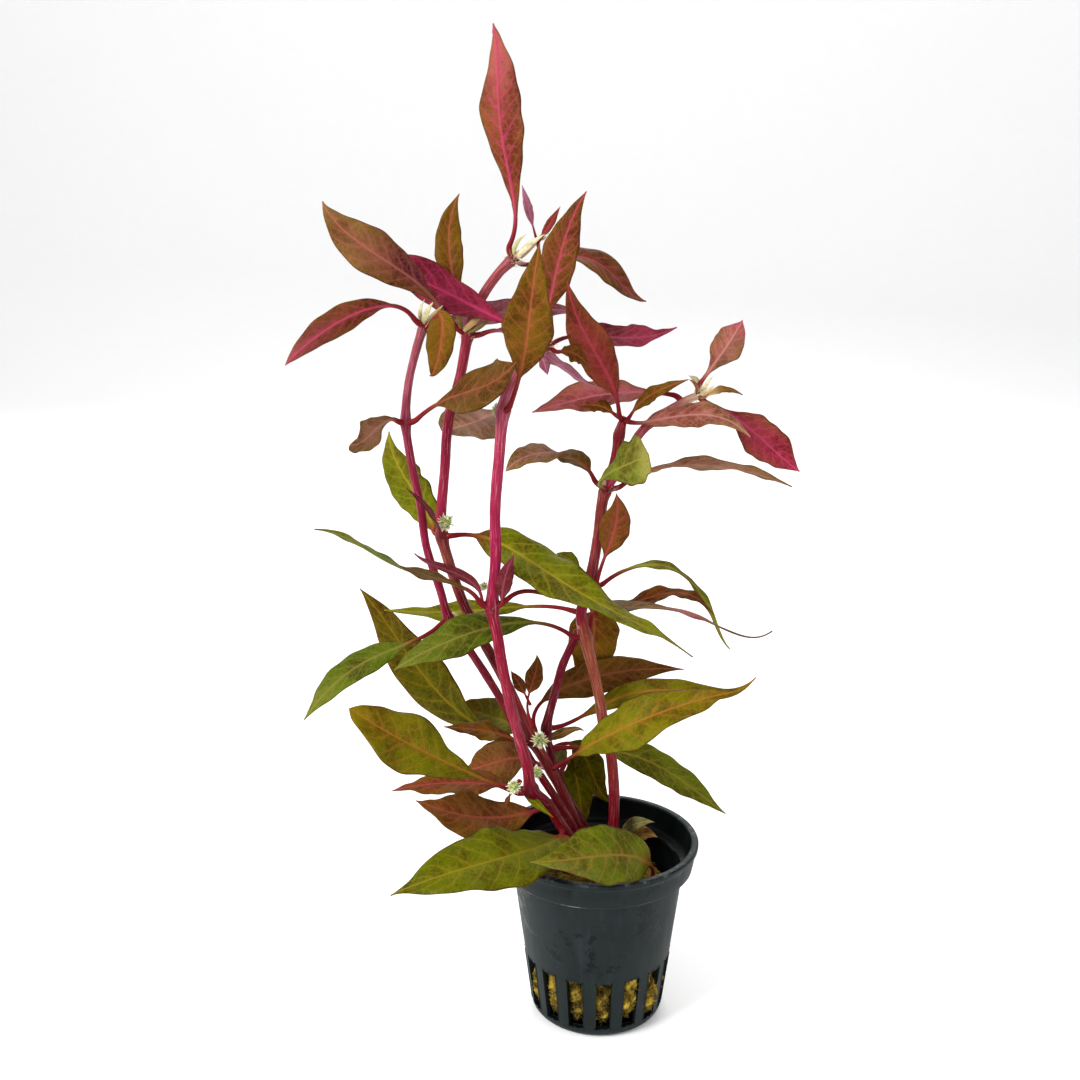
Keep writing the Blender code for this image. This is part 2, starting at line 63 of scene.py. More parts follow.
# Looks of a leaf, each with the colours of the side that faces the photo's camera (base, tip and
# veins) and of the side turned away from it (base and veins).
LEAF_LOOKS = {
    "moss": ((104, 112, 0), (102, 112, 0), (158, 142, 30), (114, 104, 26), (160, 112, 56)),
    "moss_fresh": ((94, 114, 0), (108, 122, 6), (172, 134, 56), (118, 116, 36), (166, 122, 60)),
    "moss_orange": ((112, 120, 0), (124, 112, 0), (180, 122, 40), (130, 92, 36), (176, 104, 60)),
    "meadow": ((98, 108, 6), (106, 114, 14), (150, 138, 44), (112, 100, 40), (156, 122, 60)),
    "olive": ((110, 120, 2), (126, 130, 24), (176, 160, 44), (126, 98, 40), (170, 114, 60)),
    "sage": ((86, 106, 10), (104, 112, 24), (146, 138, 56), (122, 98, 46), (160, 116, 62)),
    "forest": ((80, 82, 0), (98, 72, 2), (142, 122, 22), (120, 74, 32), (164, 94, 56)),
    "bronze": ((116, 86, 2), (108, 78, 4), (182, 98, 58), (130, 64, 38), (178, 80, 70)),
    "chestnut": ((104, 72, 12), (92, 62, 10), (160, 92, 60), (130, 62, 44), (178, 82, 74)),
    "russet": ((128, 82, 22), (130, 76, 20), (190, 84, 78), (136, 54, 44), (188, 72, 82)),
    "umber": ((114, 70, 10), (104, 68, 8), (204, 84, 94), (136, 58, 42), (188, 72, 82)),
    "walnut": ((98, 52, 8), (94, 54, 8), (150, 80, 46), (110, 54, 26), (160, 76, 58)),
    "clay": ((124, 84, 28), (130, 76, 20), (176, 88, 62), (130, 84, 40), (176, 92, 60)),
    "dusty": ((164, 112, 82), (144, 106, 58), (196, 138, 118), (114, 86, 30), (168, 104, 62)),
    "rose": ((128, 70, 18), (184, 96, 92), (212, 76, 110), (110, 74, 24), (182, 88, 74)),
    "rosewood": ((144, 84, 52), (156, 122, 66), (196, 114, 94), (112, 66, 28), (182, 82, 74)),
    "crimson": ((160, 52, 62), (170, 44, 72), (206, 74, 108), (118, 62, 30), (182, 76, 74)),
    "ember": ((140, 56, 38), (124, 68, 26), (198, 70, 88), (118, 60, 30), (182, 76, 70)),
    "magenta": ((134, 36, 58), (150, 38, 72), (200, 56, 104), (110, 62, 26), (178, 70, 72)),
    "fuchsia": ((140, 50, 50), (186, 60, 92), (216, 90, 124), (118, 62, 30), (182, 76, 74)),
    "lilac": ((172, 96, 112), (188, 126, 146), (208, 128, 154), (124, 84, 48), (190, 100, 100)),
    "blush": ((212, 116, 118), (204, 104, 96), (224, 124, 136), (120, 74, 40), (184, 92, 80)),
    "petal": ((182, 104, 90), (164, 124, 84), (212, 140, 130), (126, 84, 52), (190, 110, 100)),
    "leaf_green": ((124, 138, 34), (130, 142, 44), (172, 166, 72), (130, 112, 52), (180, 130, 80)),
    "tan": ((170, 128, 56), (160, 122, 60), (190, 150, 90), (160, 122, 60), (190, 150, 90)),
    "cream": ((206, 200, 150), (214, 206, 164), (226, 216, 180), (204, 196, 150), (224, 214, 176)),
    "maroon": ((116, 44, 50), (106, 30, 48), (160, 70, 84), (104, 46, 40), (160, 70, 74)),
    "straw": ((120, 116, 60), (140, 140, 92), (160, 150, 96), (110, 96, 40), (150, 130, 70)),
}

# Looks whose margins turn olive.
TWO_TONED = ("moss_orange", "forest", "bronze", "chestnut", "russet", "umber", "walnut", "clay", "dusty",
             "rose", "rosewood", "crimson", "ember", "blush", "petal")
STALK_COLOUR = (146, 36, 44)

# The pot: its wall's thickness, the heights between which the wall is straight and the slots
# stand, its radius at those heights, and the lip's height.
WALL = 1.1
SLOT_FOOT = 2.8
SLOT_TOP = 17.0
COLLAR_FOOT = 41.0
RADIUS_LOW = 17.4
RADIUS_HIGH = 22.3
RIM_HEIGHT = 48.0
SLOTS = 16
FIRST_SLOT = math.radians(5.5 - 90)
# How full each slot is of rock wool, in turn from the slot nearest the photo's camera.
SLOT_FILL = (0.35, 1.05, 1.3, 0.6, 0.9, 0.4, 0.7, 1.0, 0.5, 0.8, 0.45, 0.9, 0.6, 0.85, 0.55, 0.3)
WOOL_SEED = 12
# Height in metres of the painted highlight line on the collar's step.
STEP_LINE = 0.0409
POT_DARK = (22, 32, 32)
POT_PALE = (32, 43, 43)

# How blunt a blade is at its base and at its tip: the larger, the more pointed.
PLAIN = (1.35, 1.05)
SMALL = (1.1, 1.0)
BLUNT_TIP = (1.0, 0.5)
BROAD_BASE = (0.7, 1.25)
LONG_BASE = (1.6, 1.0)
ROUND_TIP = (1.45, 0.75)


def leaf(stem, node, via, width, face, look, face_tip=None, stalk=0.14, widest=0.42, powers=PLAIN,
         fold=0.16, arch=0.05, waves=(0.5, 3.0, 0.0), lobes=(), veins=8, stains_and_shade=(), rod=0.6,
         slot="leaf_brown"):
    """One leaf: the stem it grows from and the number of its point there, the points of its
    midrib, its full width, the way its upper side looks at the base and at the tip, the share of
    its length that is stalk, where it is widest and how blunt both its ends are, how far it folds
    up and arches, its margin's waves (height, number, phase), lobes (side, place, height, spread),
    its number of side veins, and stains and patches of painted shade (place along, place across,
    size along, size across, colour, strength).
    """
    return {"stem": stem, "node": node, "via": via, "width": width, "look": look, "fold": fold,
            "faces": (face, face_tip or face), "stalk": stalk, "widest": widest, "arch": arch,
            "powers": powers, "waves": waves, "lobes": lobes, "veins": veins, "stains_and_shade": stains_and_shade,
            "rod": rod, "slot": slot}


STEMS = {
    "stem_left": (1.1, 1.0, (7, 12, 15), [
        (0.5, 2, 36.8), (-2, 2, 41), (-10, 1, 56), (-18, -0.5, 70), (-24, 0, 83), (-29, 0, 92),
        (-34, 0, 100), (-38, -1, 107), (-40, -2, 115), (-43, -3, 126), (-44, -4, 136),
        (-46, -5, 148), (-47, -5, 157), (-46, -6, 166), (-44, -6, 174), (-42, -6, 180)]),
    "stem_tall": (1.5, 1.2, (4, 11, 16, 19), [
        (0, 7, 36.8), (-6, 6, 49), (-10, 5, 59), (-13, 4, 65), (-17, 3, 73), (-20, 4, 79),
        (-23, 6, 85), (-27, 6, 93), (-31, 5, 101), (-35, 4, 110), (-38, 4, 119), (-40, 4, 127),
        (-40, 4, 134), (-39, 4, 144), (-38, 5, 156), (-35, 6, 167), (-33, 7, 177), (-30, 7, 185),
        (-26, 8, 191), (-22, 8, 195)]),
    "stem_front": (1.5, 1.3, (4, 10, 14, 17), [
        (0, -2, 36.8), (-4, -3, 44), (-9, -4, 52), (-13, -5, 59), (-17, -7, 64), (-18, -8, 71),
        (-20, -9, 79), (-22, -10, 88), (-24, -11, 99), (-25, -12, 107), (-26, -13, 114),
        (-25, -14, 126), (-25, -14, 138), (-24, -14, 150), (-23, -13, 161), (-21, -12, 168),
        (-17, -10, 173), (-13, -8, 176)]),
    "stem_right": (1.5, 1.4, (7, 9, 12), [
        (4, 2, 36.2), (4, 3, 50), (4, 4, 59), (3, 5, 69), (1, 5, 77), (0, 5, 84), (-2, 5, 93),
        (-4, 5, 101), (-5, 6, 107), (-3, 7, 114), (-1, 8, 126), (0, 8, 135), (1, 8, 139)]),
    "stem_young": (1.2, 1.1, (4,), [
        (2.5, 10.5, 36.8), (-5, 10, 48), (-11, 10, 60), (-13, 9, 68), (-14, 9, 74), (-12, 9, 83),
        (-10, 9, 91), (-8, 9, 96), (-5.6, 9.6, 101.5)]),
    "branch_upright": (1.25, 1.1, (3,), [
        (1, 8, 139), (1.8, 8.4, 142), (3, 9, 146), (4, 10, 152), (5, 10, 156)]),
    "branch_side": (1.2, 1.0, (4,), [
        (1, 8, 139), (3.6, 7.2, 143), (6, 6.6, 147.5), (9, 6, 153), (13, 5, 157), (19, 4, 161),
        (23, 3, 163)]),
    "bud_shoot": (0.9, 0.45, (), [
        (-22, 8, 195), (-20.5, 8, 196.2), (-19, 8, 197), (-17, 8, 199), (-14, 8, 200)]),
}

# Colours up each stem: share of its length and screen colour. The pale stops near the tops, such as
# stem_left's from 0.88, are partly the stems' own colour and partly painted highlight.
STEM_TONES = {
    "stem_left": ((0.0, (116, 9, 21)), (0.25, (130, 11, 25)), (0.4, (150, 16, 52)),
                  (0.58, (159, 7, 63)), (0.72, (160, 24, 68)), (0.8, (156, 50, 80)),
                  (0.88, (184, 92, 110)), (1.0, (184, 100, 108))),
    "stem_tall": ((0.0, (123, 22, 27)), (0.16, (141, 44, 40)), (0.26, (172, 58, 58)),
                  (0.32, (170, 40, 58)), (0.38, (112, 12, 13)), (0.48, (139, 26, 32)),
                  (0.54, (160, 84, 64)), (0.58, (146, 44, 50)), (0.64, (194, 44, 90)),
                  (0.74, (148, 14, 50)), (0.84, (184, 60, 80)), (0.95, (196, 96, 100)),
                  (1.0, (196, 112, 112))),
    "stem_front": ((0.0, (123, 9, 21)), (0.18, (130, 9, 27)), (0.29, (170, 32, 65)),
                   (0.4, (177, 50, 76)), (0.5, (168, 16, 59)), (0.58, (170, 29, 65)),
                   (0.65, (181, 24, 84)), (0.76, (192, 52, 94)), (0.85, (216, 116, 138)),
                   (0.93, (179, 76, 59)), (1.0, (146, 50, 42))),
    "stem_right": ((0.0, (123, 9, 25)), (0.14, (139, 13, 34)), (0.24, (161, 50, 46)),
                   (0.42, (172, 92, 62)), (0.58, (186, 100, 72)), (0.65, (164, 30, 58)),
                   (0.72, (150, 30, 50)), (0.8, (158, 62, 64)), (1.0, (168, 64, 54))),
    "stem_young": ((0.0, (112, 9, 21)), (0.5, (121, 9, 29)), (0.75, (146, 9, 48)),
                   (1.0, (143, 7, 44))),
    "branch_upright": ((0.0, (159, 41, 42)), (1.0, (170, 45, 55))),
    "branch_side": ((0.0, (193, 58, 86)), (0.4, (206, 72, 99)), (0.7, (178, 104, 98)),
                    (0.85, (198, 130, 116)), (1.0, (224, 208, 174))),
    "bud_shoot": ((0.0, (214, 170, 146)), (0.4, (228, 214, 172)), (1.0, (232, 222, 186))),
}

LEAVES = {
    "leaf_left_1": leaf("stem_left", 7, [(-44.5, -6, 103.5), (-55.5, -12, 100), (-64, -17, 95),
                        (-71, -20, 87)], 9, (-0.2, -0.6, 0.8), "sage", stalk=0.22, widest=0.45,
                        waves=(0.5, 2.5, 0.4)),
    "leaf_left_2": leaf("stem_left", 12, [(-49, -8, 158), (-53.1, -14, 156.2), (-57.3, -20, 154.1)],
                        7.5, (-0.2, 0.9, 0.4), "dusty", widest=0.6, powers=BLUNT_TIP,
                        waves=(0.5, 2.0, 0.2), veins=5),
    "leaf_left_3": leaf("stem_left", 12, [(-39.5, -9, 161.5), (-29.3, -18, 166.2), (-19, -28, 173.5)],
                        13, (0.1, -0.8, 0.6), "chestnut", stalk=0.2, widest=0.55, powers=(1.05, 0.85),
                        lobes=((-1, 0.68, 0.8, 0.1),), waves=(0.5, 2.5, 0.1), veins=7),
    "leaf_left_4": leaf("stem_left", 15, [(-47, -12, 184.5), (-58.5, -18, 182), (-71.5, -20, 172)],
                        7.5, (0, 0.8, 0.6), "rose", stalk=0.22, widest=0.45, slot="leaf_rose",
                        waves=(0.3, 2.0, 0.3)),
    "leaf_left_5": leaf("stem_left", 15, [(-39, 9, 180), (-26.5, 21, 181.5), (-4, 30, 180.5)],
                        8, (0, 0.8, 0.5), "lilac", slot="leaf_rose"),
    "leaf_left_6": leaf("stem_left", 15, [(-38, -8, 182.5), (-38, -8, 175.5), (-40.5, -8, 168.5)],
                        6.8, (0, -1, 0.1), "bronze", slot="leaf_rose", waves=(0.3, 2, 0), veins=6),
    "leaf_tall_1": leaf("stem_tall", 4, [(-27.5, 9, 72), (-43, 16, 80.5), (-53, 18, 93),
                        (-64, 18, 109)], 13, (-0.4, -0.8, 0.5), "forest", widest=0.5,
                        waves=(0.8, 2.5, 0.6), veins=9),
    "leaf_tall_2": leaf("stem_tall", 4, [(-16, 12, 79.5), (-8, 15, 84), (5.5, 16.5, 87.5),
                        (22, 16.5, 88.5)], 9.5, (0, -0.9, 0.4), "chestnut", stalk=0.2,
                        slot="leaf_olive", waves=(0.5, 2.5, 0.2)),
    "leaf_tall_3": leaf("stem_tall", 3, [(-20.5, 9, 65.5), (-29, 13, 62), (-37, 18, 58)],
                        12, (0, -1, 0.5), "clay", slot="leaf_olive", waves=(0.6, 2, 0.5)),
    "leaf_tall_6": leaf("stem_tall", 11, [(-43, 6, 130), (-48.5, 7.5, 139.5), (-53, 6, 153)],
                        10.5, (-0.3, -1, 0.2), "olive", stalk=0.05, widest=0.45, powers=(0.85, 1.1),
                        lobes=((-1, 0.52, -1.3, 0.05),), waves=(0.4, 2, 0.3)),
    "leaf_tall_7": leaf("stem_tall", 11, [(-30, 0, 128), (-15, -8, 122.5), (1, -16, 115),
                        (21.5, -20, 104.5)], 13.5, (0.2, -0.8, 0.6), "olive", (0, 0.1, 1),
                        stalk=0.1, widest=0.32, waves=(0.7, 3, 0.2), veins=11),
    # The dark patch on this leaf is painted shade, where leaf_front_11 lies behind it and less light comes
    # through.
    "leaf_tall_9": leaf("stem_tall", 16, [(-40.5, 1, 185.5), (-47, -8, 192.5), (-57, -13, 200),
                        (-62.5, -16, 207.5)], 10.5, (-0.3, -0.8, 0.5), "rosewood", stalk=0.1,
                        widest=0.62, slot="leaf_rose", waves=(0.5, 3, 0.1),
                        stains_and_shade=((0.42, -0.45, 0.2, 0.75, (104, 26, 58), 0.95),)),
    "leaf_tall_10": leaf("stem_tall", 16, [(-24, 4, 178), (-13, 2, 172), (-2, 0, 165.5)],
                         8, (0.3, 0.5, 0.8), "lilac", slot="leaf_rose"),
    "leaf_tall_11": leaf("stem_tall", 16, [(-35.5, 8, 183), (-38, 12, 197), (-35.5, 13, 210)],
                         7, (0, -1, 0.2), "bronze", widest=0.55, slot="leaf_rose",
                         waves=(0.3, 2, 0.6)),
    "leaf_tall_12": leaf("stem_tall", 19, [(-21.5, 7, 202.5), (-24.2, 6, 222),
                         (-25.1, 4.7, 236), (-26, 3, 247)],
                         11.5, (0.4, 0.9, 0.1), "rose", stalk=0.1, widest=0.57, powers=LONG_BASE,
                         slot="leaf_rose",
                         lobes=((-1, 0.66, 1.0, 0.05), (-1, 0.62, -1.1, 0.3), (1, 0.5, 0.2, 0.08)),
                         waves=(0.5, 2.5, 0.3), veins=10),
    "leaf_tall_13": leaf("stem_tall", 19, [(-18, 14, 193.5), (-5.5, 20, 195), (2.5, 24, 190),
                         (10.5, 27, 184)], 10.5, (0.1, -0.6, 0.8), "umber", stalk=0.2, widest=0.55,
                         slot="leaf_rose", waves=(0.4, 2, 0.1)),
    "leaf_front_1": leaf("stem_front", 4, [(-24.5, -10, 66), (-40, -16, 76), (-60, -20, 90)],
                         15, (-0.2, -0.6, 0.8), "moss_orange", stalk=0.2, widest=0.58, powers=ROUND_TIP,
                         slot="leaf_olive", waves=(0.8, 3, 0.2), veins=9),
    "leaf_front_2": leaf("stem_front", 4, [(-28, 0, 62), (-38.5, 0, 62), (-53.5, -1, 60)],
                         10, (0, -0.3, 0.9), "russet", slot="leaf_olive"),
    "leaf_front_3": leaf("stem_front", 3, [(-20, -6, 56.5), (-31, -12, 58.5), (-45, -16, 64.5)],
                         14, (0, -0.5, 0.8), "clay", stalk=0.05, widest=0.5, powers=(0.8, 1.2),
                         slot="leaf_olive", waves=(0.7, 2, 0.5)),
    "leaf_front_4": leaf("stem_front", 10, [(-31, -16, 118.5), (-40, -20, 123), (-50, -22, 127.5),
                         (-65.5, -24, 135)], 8, (0, -0.5, 0.85), "sage", (0, 0.7, 0.7)),
    "leaf_front_5": leaf("stem_front", 10, [(-18.5, -10, 117), (-2.5, -6, 112.5), (13.5, -4, 111.5),
                         (24.5, -4, 109), (42, -4, 106)], 7, (0, -0.2, 1), "sage", (0, 0.2, 1),
                         lobes=((-1, 0.8, -1.2, 0.06), (1, 0.8, -1.2, 0.06)), veins=12,
                         stains_and_shade=((0.7, 0.0, 0.08, 9.0, (190, 90, 110), 0.9),)),
    "leaf_front_8": leaf("stem_front", 14, [(-19.5, -17, 167.5), (-16.5, -24, 181.5),
                         (-14, -26, 198.5)], 11, (0, -1, 0.3), "bronze", stalk=0.22, widest=0.42,
                         slot="leaf_rose", waves=(0.4, 2, 0.2)),
    "leaf_front_9": leaf("stem_front", 14, [(-27, 0, 158.5), (-34, 14, 154), (-42, 22.5, 151)],
                         15.3, (0, 0.9, 0.5), "dusty", widest=0.55, powers=BLUNT_TIP),
    "leaf_front_10": leaf("stem_front", 17, [(-13, -6, 184.5), (-10, -4, 197.5), (-4.5, -2, 210)],
                          8.5, (0.2, -1, 0.3), "umber", slot="leaf_rose", waves=(0.3, 2, 0.4)),
    "leaf_front_11": leaf("stem_front", 17, [(-24, -3, 181), (-39.5, 3, 188), (-62, 10, 196.5)],
                          11, (-0.2, 0.9, 0.45), "magenta", widest=0.5, slot="leaf_rose",
                          waves=(0.4, 3, 0.3)),
    "leaf_front_12": leaf("stem_front", 17, [(-7.5, 2, 177), (4, 12, 176), (18, 18, 178)],
                          8.5, (0, 0.8, 0.6), "fuchsia", widest=0.5, slot="leaf_rose", waves=(0.7, 3, 0.2)),
    "leaf_right_1": leaf("stem_right", 7, [(-12.5, 1, 105), (-25, -6, 107), (-36.5, -11, 104.5),
                         (-50, -13, 97.5)], 10, (0, -0.7, 0.7), "sage", stalk=0.2, widest=0.55,
                         waves=(0.6, 3, 0.3)),
    "leaf_right_2": leaf("stem_right", 7, [(-2, 13, 105.5), (-2, 19, 92), (-3.5, 22, 79)],
                         13, (0, -1, 0.3), "bronze", waves=(0.5, 2, 0.2)),
    "leaf_right_3": leaf("stem_right", 8, [(-14.5, 11, 107), (-29, 14, 105), (-45, 14, 104),
                         (-56.5, 12, 105)], 7, (0, -0.5, 0.85), "olive", stalk=0.25),
    "leaf_right_4": leaf("stem_right", 9, [(4.5, 8, 117), (15.5, 10, 118.5), (26.5, 12, 109),
                         (33.5, 12, 96)], 5, (0, -0.2, 1), "olive", veins=9),
    "leaf_right_5": leaf("stem_right", 9, [(0.5, 4, 110), (10, 4, 111), (22.5, 4, 112.5),
                         (28.5, 4, 107.5)], 6, (0, -0.3, 1), "walnut", waves=(0.7, 3, 0.2)),
    "leaf_right_6": leaf("stem_right", 9, [(0.5, 5, 121), (3, 4, 129), (3.5, 3, 138.5)],
                         8, (0.1, -1, 0.2), "russet", stalk=0.32, widest=0.48, veins=6),
    "leaf_right_7": leaf("stem_right", 12, [(-3.5, 8, 143.5), (-13.5, 4, 148.5), (-23.5, 0, 144.5)],
                         11, (0, 0.9, 0.5), "dusty", (0, -0.75, 0.6), widest=0.42, powers=(1.1, 0.85)),
    "leaf_right_8": leaf("stem_right", 12, [(-0.5, 1, 142), (5, -6, 147), (10.7, -10, 150.6)],
                         13, (-0.1, -0.9, 0.5), "leaf_green", stalk=0.04, widest=0.86,
                         powers=(0.62, 0.35), lobes=((1, 0.8, -0.9, 0.04), (-1, 0.93, -1.0, 0.03)),
                         veins=6, stains_and_shade=((0.95, 0.0, 0.08, 9.0, (176, 164, 84), 0.7),)),
    "leaf_right_9": leaf("stem_right", 12, [(9.5, 10, 142), (25, 12, 144.5), (47.5, 12, 139)],
                         8.5, (0, 0.5, 0.87), "dusty", veins=9),
    "leaf_upright_1": leaf("branch_upright", 4, [(3, 5, 162.5), (-3, -2, 175), (-8.5, -8, 190)],
                           9.5, (0.2, -1, 0.1), "ember", stalk=0.16, widest=0.44,
                           slot="leaf_rose", waves=(0.4, 2, 0.3)),
    "leaf_upright_2": leaf("branch_upright", 4, [(9, 4, 156), (20.5, -4, 159), (34, -10, 155)],
                           7.5, (0, -0.7, 0.7), "petal", widest=0.5),
    "leaf_side_1": leaf("branch_side", 5, [(11.5, 8, 163), (-1, 14, 161.5), (-18, 18, 156.5)],
                        10.5, (0, 0.8, 0.6), "blush", widest=0.5),
    "leaf_side_2": leaf("branch_side", 6, [(30.5, 2, 158.5), (38.5, 0, 152.5), (47, -2, 145.5)],
                        10, (0.1, 1, 0.3), "crimson", widest=0.55,
                        stains_and_shade=((0.1, 0.0, 0.3, 9.0, (118, 62, 30), 0.8),)),
    "leaf_side_3": leaf("branch_side", 6, [(24.5, 4, 167.5), (29, 6, 173.5), (33, 6, 180.5)],
                        8, (0, 1, 0.2), "petal", widest=0.62, slot="leaf_rose",
                        stains_and_shade=((1.0, 0.0, 0.2, 9.0, (186, 56, 92), 0.8),
                                (0.45, 0.6, 0.2, 0.7, (150, 122, 80), 0.6))),
    "leaf_low_1": leaf("stem_front", 2, [(-12, -16, 54), (-28.5, -33, 56.5), (-48, -38, 51)],
                       19, (-0.1, -0.5, 0.9), "moss", stalk=0.05, widest=0.45, powers=BROAD_BASE,
                       slot="leaf_olive", waves=(0.6, 3, 0.1), veins=9),
    "leaf_low_2": leaf(None, 0, [(11, -8, 36.4), (13.8, -11, 44.6), (10, -17, 51),
                       (-2, -28, 56.7), (-15.5, -36, 59.3)], 15, (0.3, -0.7, 0.5), "moss_fresh",
                       (0, -0.6, 0.8), stalk=0.26, widest=0.42, powers=(0.6, 1.15),
                       slot="leaf_olive", stains_and_shade=((0.9, 0.8, 0.2, 0.5, (150, 156, 84), 0.5),)),
    "leaf_young_1": leaf("stem_tall", 3, [(-4.5, -4, 73.5), (11, -12, 85.5), (32, -16, 94.5)],
                         13.5, (0.2, -0.6, 0.8), "moss_orange", stalk=0.16, widest=0.45,
                         slot="leaf_olive", waves=(0.8, 3, 0.4), veins=9),
    "leaf_young_2": leaf("stem_young", 4, [(-6.5, 13, 75), (10.5, 11, 84), (27, 8, 85),
                         (39.5, 4, 91)], 6.5, (0, -0.9, 0.4), "moss_orange", slot="leaf_olive"),
    "leaf_young_3": leaf("stem_young", 3, [(-2.5, 12, 67.5), (13.5, 14, 63), (24.5, 14, 56),
                         (34, 12, 49.5)], 9.5, (0.2, -0.6, 0.8), "meadow", widest=0.5,
                         slot="leaf_olive", veins=9),
    "leaf_young_4": leaf("stem_young", 3, [(-6.5, 14, 67.5), (-2, 17, 58.5), (3.5, 18, 49)],
                         8, (0, -1, 0.3), "forest", slot="leaf_olive"),
}

# Leaves too small for a CAD node of their own, most of them young ones in the leaf axils.
SMALL_LEAVES = {
    "leaf_tall_4": leaf("stem_tall", 4, [(-25.5, 2, 75), (-32, 0, 77), (-39.5, -2, 78.5)], 6,
                        (0, -0.5, 0.8), "bronze", veins=6),
    "leaf_tall_5": leaf("stem_tall", 4, [(-25.5, 16, 73), (-33, 22, 73), (-41.5, 26, 73.5)], 14,
                        (0, -0.6, 0.8), "forest", slot="leaf_olive"),
    "leaf_tall_8": leaf("stem_tall", 11, [(-42.5, -8, 137.5), (-46.5, -10, 142)], 2.5,
                        (0, -0.6, 0.8), "maroon", veins=4, rod=0.35, slot="leaf_olive"),
    "leaf_front_6": leaf("stem_front", 10, [(-30, -15, 120), (-36, -14, 123), (-44.5, -12, 126.5)], 4,
                         (0, 0.8, 0.6), "maroon", veins=6, rod=0.45, waves=(0.1, 2, 0)),
    "leaf_front_7": leaf("stem_front", 10, [(-23, -15, 120), (-20.5, -16, 127.5)], 4,
                         (0, 0.9, 0.2), "maroon", veins=5, rod=0.45),
    "leaf_front_13": leaf("stem_front", 17, [(-8.5, -7, 174), (-3.5, -6, 170.5)], 5,
                          (0, -0.7, 0.7), "walnut", veins=5, rod=0.45, slot="leaf_rose"),
    "leaf_right_11": leaf("branch_upright", 4, [(-1, 15, 158.5), (-6.5, 18, 158)], 4,
                          (0, -0.7, 0.7), "bronze", veins=5, rod=0.45),
    "leaf_right_12": leaf("branch_upright", 4, [(9, 6, 160.5), (13.5, 3, 164), (20, 0, 167)], 4,
                          (0, -0.8, 0.6), "bronze", veins=6, rod=0.45),
    "leaf_side_4": leaf("branch_side", 6, [(28, 1, 164.5), (33, 0, 163.5)], 2.5,
                        (0, -0.6, 0.8), "bronze", veins=4, rod=0.35, slot="leaf_rose",
                        stains_and_shade=((0.25, 0.0, 0.2, 9.0, (226, 206, 140), 0.9),)),
    "leaf_side_5": leaf("branch_side", 6, [(22.5, 4, 165.5), (20.5, 4, 167.5)], 1.8,
                        (0, -0.9, 0.4), "cream", veins=3, rod=0.3, slot="leaf_rose"),
    "leaf_bud_1": leaf(None, 0, [(-16.3, 8, 198.8), (-17.5, 7, 203.4), (-19.7, 6, 211.7)], 2.4,
                       (0.5, -0.9, 0.3), "lilac", veins=6, rod=0.3, powers=SMALL, stalk=0.3,
                       slot="leaf_rose"),
    "leaf_bud_2": leaf(None, 0, [(-15.3, 6, 199.7), (-13.3, 5, 202.7), (-10.7, 4, 206.8)], 2.0,
                       (0.2, -0.9, 0.3), "ember", veins=5, rod=0.3, powers=SMALL, stalk=0.05,
                       slot="leaf_rose"),
    "leaf_right_10": leaf("stem_right", 9, [(-4.6, 8, 115.8), (-7.5, 9, 119.5), (-11.4, 10, 121.5)], 4,
                          (0, -0.8, 0.6), "moss", stalk=0.4, veins=5, rod=0.45),
    "leaf_young_6": leaf("stem_young", 4, [(-13.6, 11, 71), (-8.8, 11, 72.5), (-4.1, 11, 72.6)], 2.5,
                         (0, -0.8, 0.6), "tan", veins=5, rod=0.35, slot="leaf_olive"),
    "leaf_twig_1": leaf(None, 0, [(-17.4, -1, 79.8), (-18.3, 0, 85.4), (-17.7, 0, 88.1),
                        (-16, 0, 97.5)], 4.6, (0, -1, 0.2), "walnut", stalk=0.42, veins=5,
                        rod=0.4, powers=SMALL),
    "leaf_twig_2": leaf(None, 0, [(-18.3, 0, 85.4), (-20.3, 0, 89.4), (-22.6, 0, 93.1)], 3,
                        (0, -1, 0.2), "walnut", stalk=0.2, veins=4, rod=0.3, powers=SMALL),
    "leaf_pale": leaf(None, 0, [(-12.8, 12, 61.6), (-10.9, 12, 65.2), (-9.3, 12, 69)], 5,
                      (0, -1, 0.2), "straw", stalk=0.1, veins=4, rod=0.3, slot="leaf_olive"),
    "leaf_pot_1": leaf(None, 0, [(5, 10, 41), (9.7, 6, 48.7), (14.5, 2, 51.4)], 3.8,
                       (0, -0.8, 0.6), "straw", stalk=0.2, veins=5, rod=0.35, slot="leaf_olive"),
    "leaf_pot_2": leaf(None, 0, [(6.4, 12, 39), (11.2, 10, 43.9), (15.6, 6, 45.1)], 4.4,
                       (0, -0.8, 0.6), "tan", stalk=0.2, veins=5, rod=0.35, slot="leaf_olive"),
    "leaf_strip": leaf(None, 0, [(-20, -6, 63.9), (-16.1, -8, 61.1), (-11.4, -10, 58)], 2.2,
                       (0, -0.9, 0.4), "moss", stalk=0.05, veins=5, rod=0.3, slot="leaf_olive"),
    "leaf_front_14": leaf(None, 0, [(-15, 0, 172.5), (-14, 0, 170.1), (-13.4, 0, 168)], 2.6,
                          (0, -1, 0.2), "lilac", stalk=0.05, veins=4, rod=0.3, powers=SMALL,
                          slot="leaf_rose"),
    "leaf_stalk": leaf(None, 0, [(-20.4, -11, 67), (-22.2, -11, 64.2), (-23.4, -11, 60.8)], 1.2,
                       (0, -1, 0.2), "walnut", stalk=0.5, veins=3, rod=0.5, powers=SMALL,
                       slot="leaf_olive"),
    "leaf_young_5": leaf("stem_young", 2, [(-8.5, 15, 62), (-5.5, 17, 53), (-5, 17, 42.5)], 8,
                         (0, -1, 0.3), "forest", slot="leaf_olive"),
}

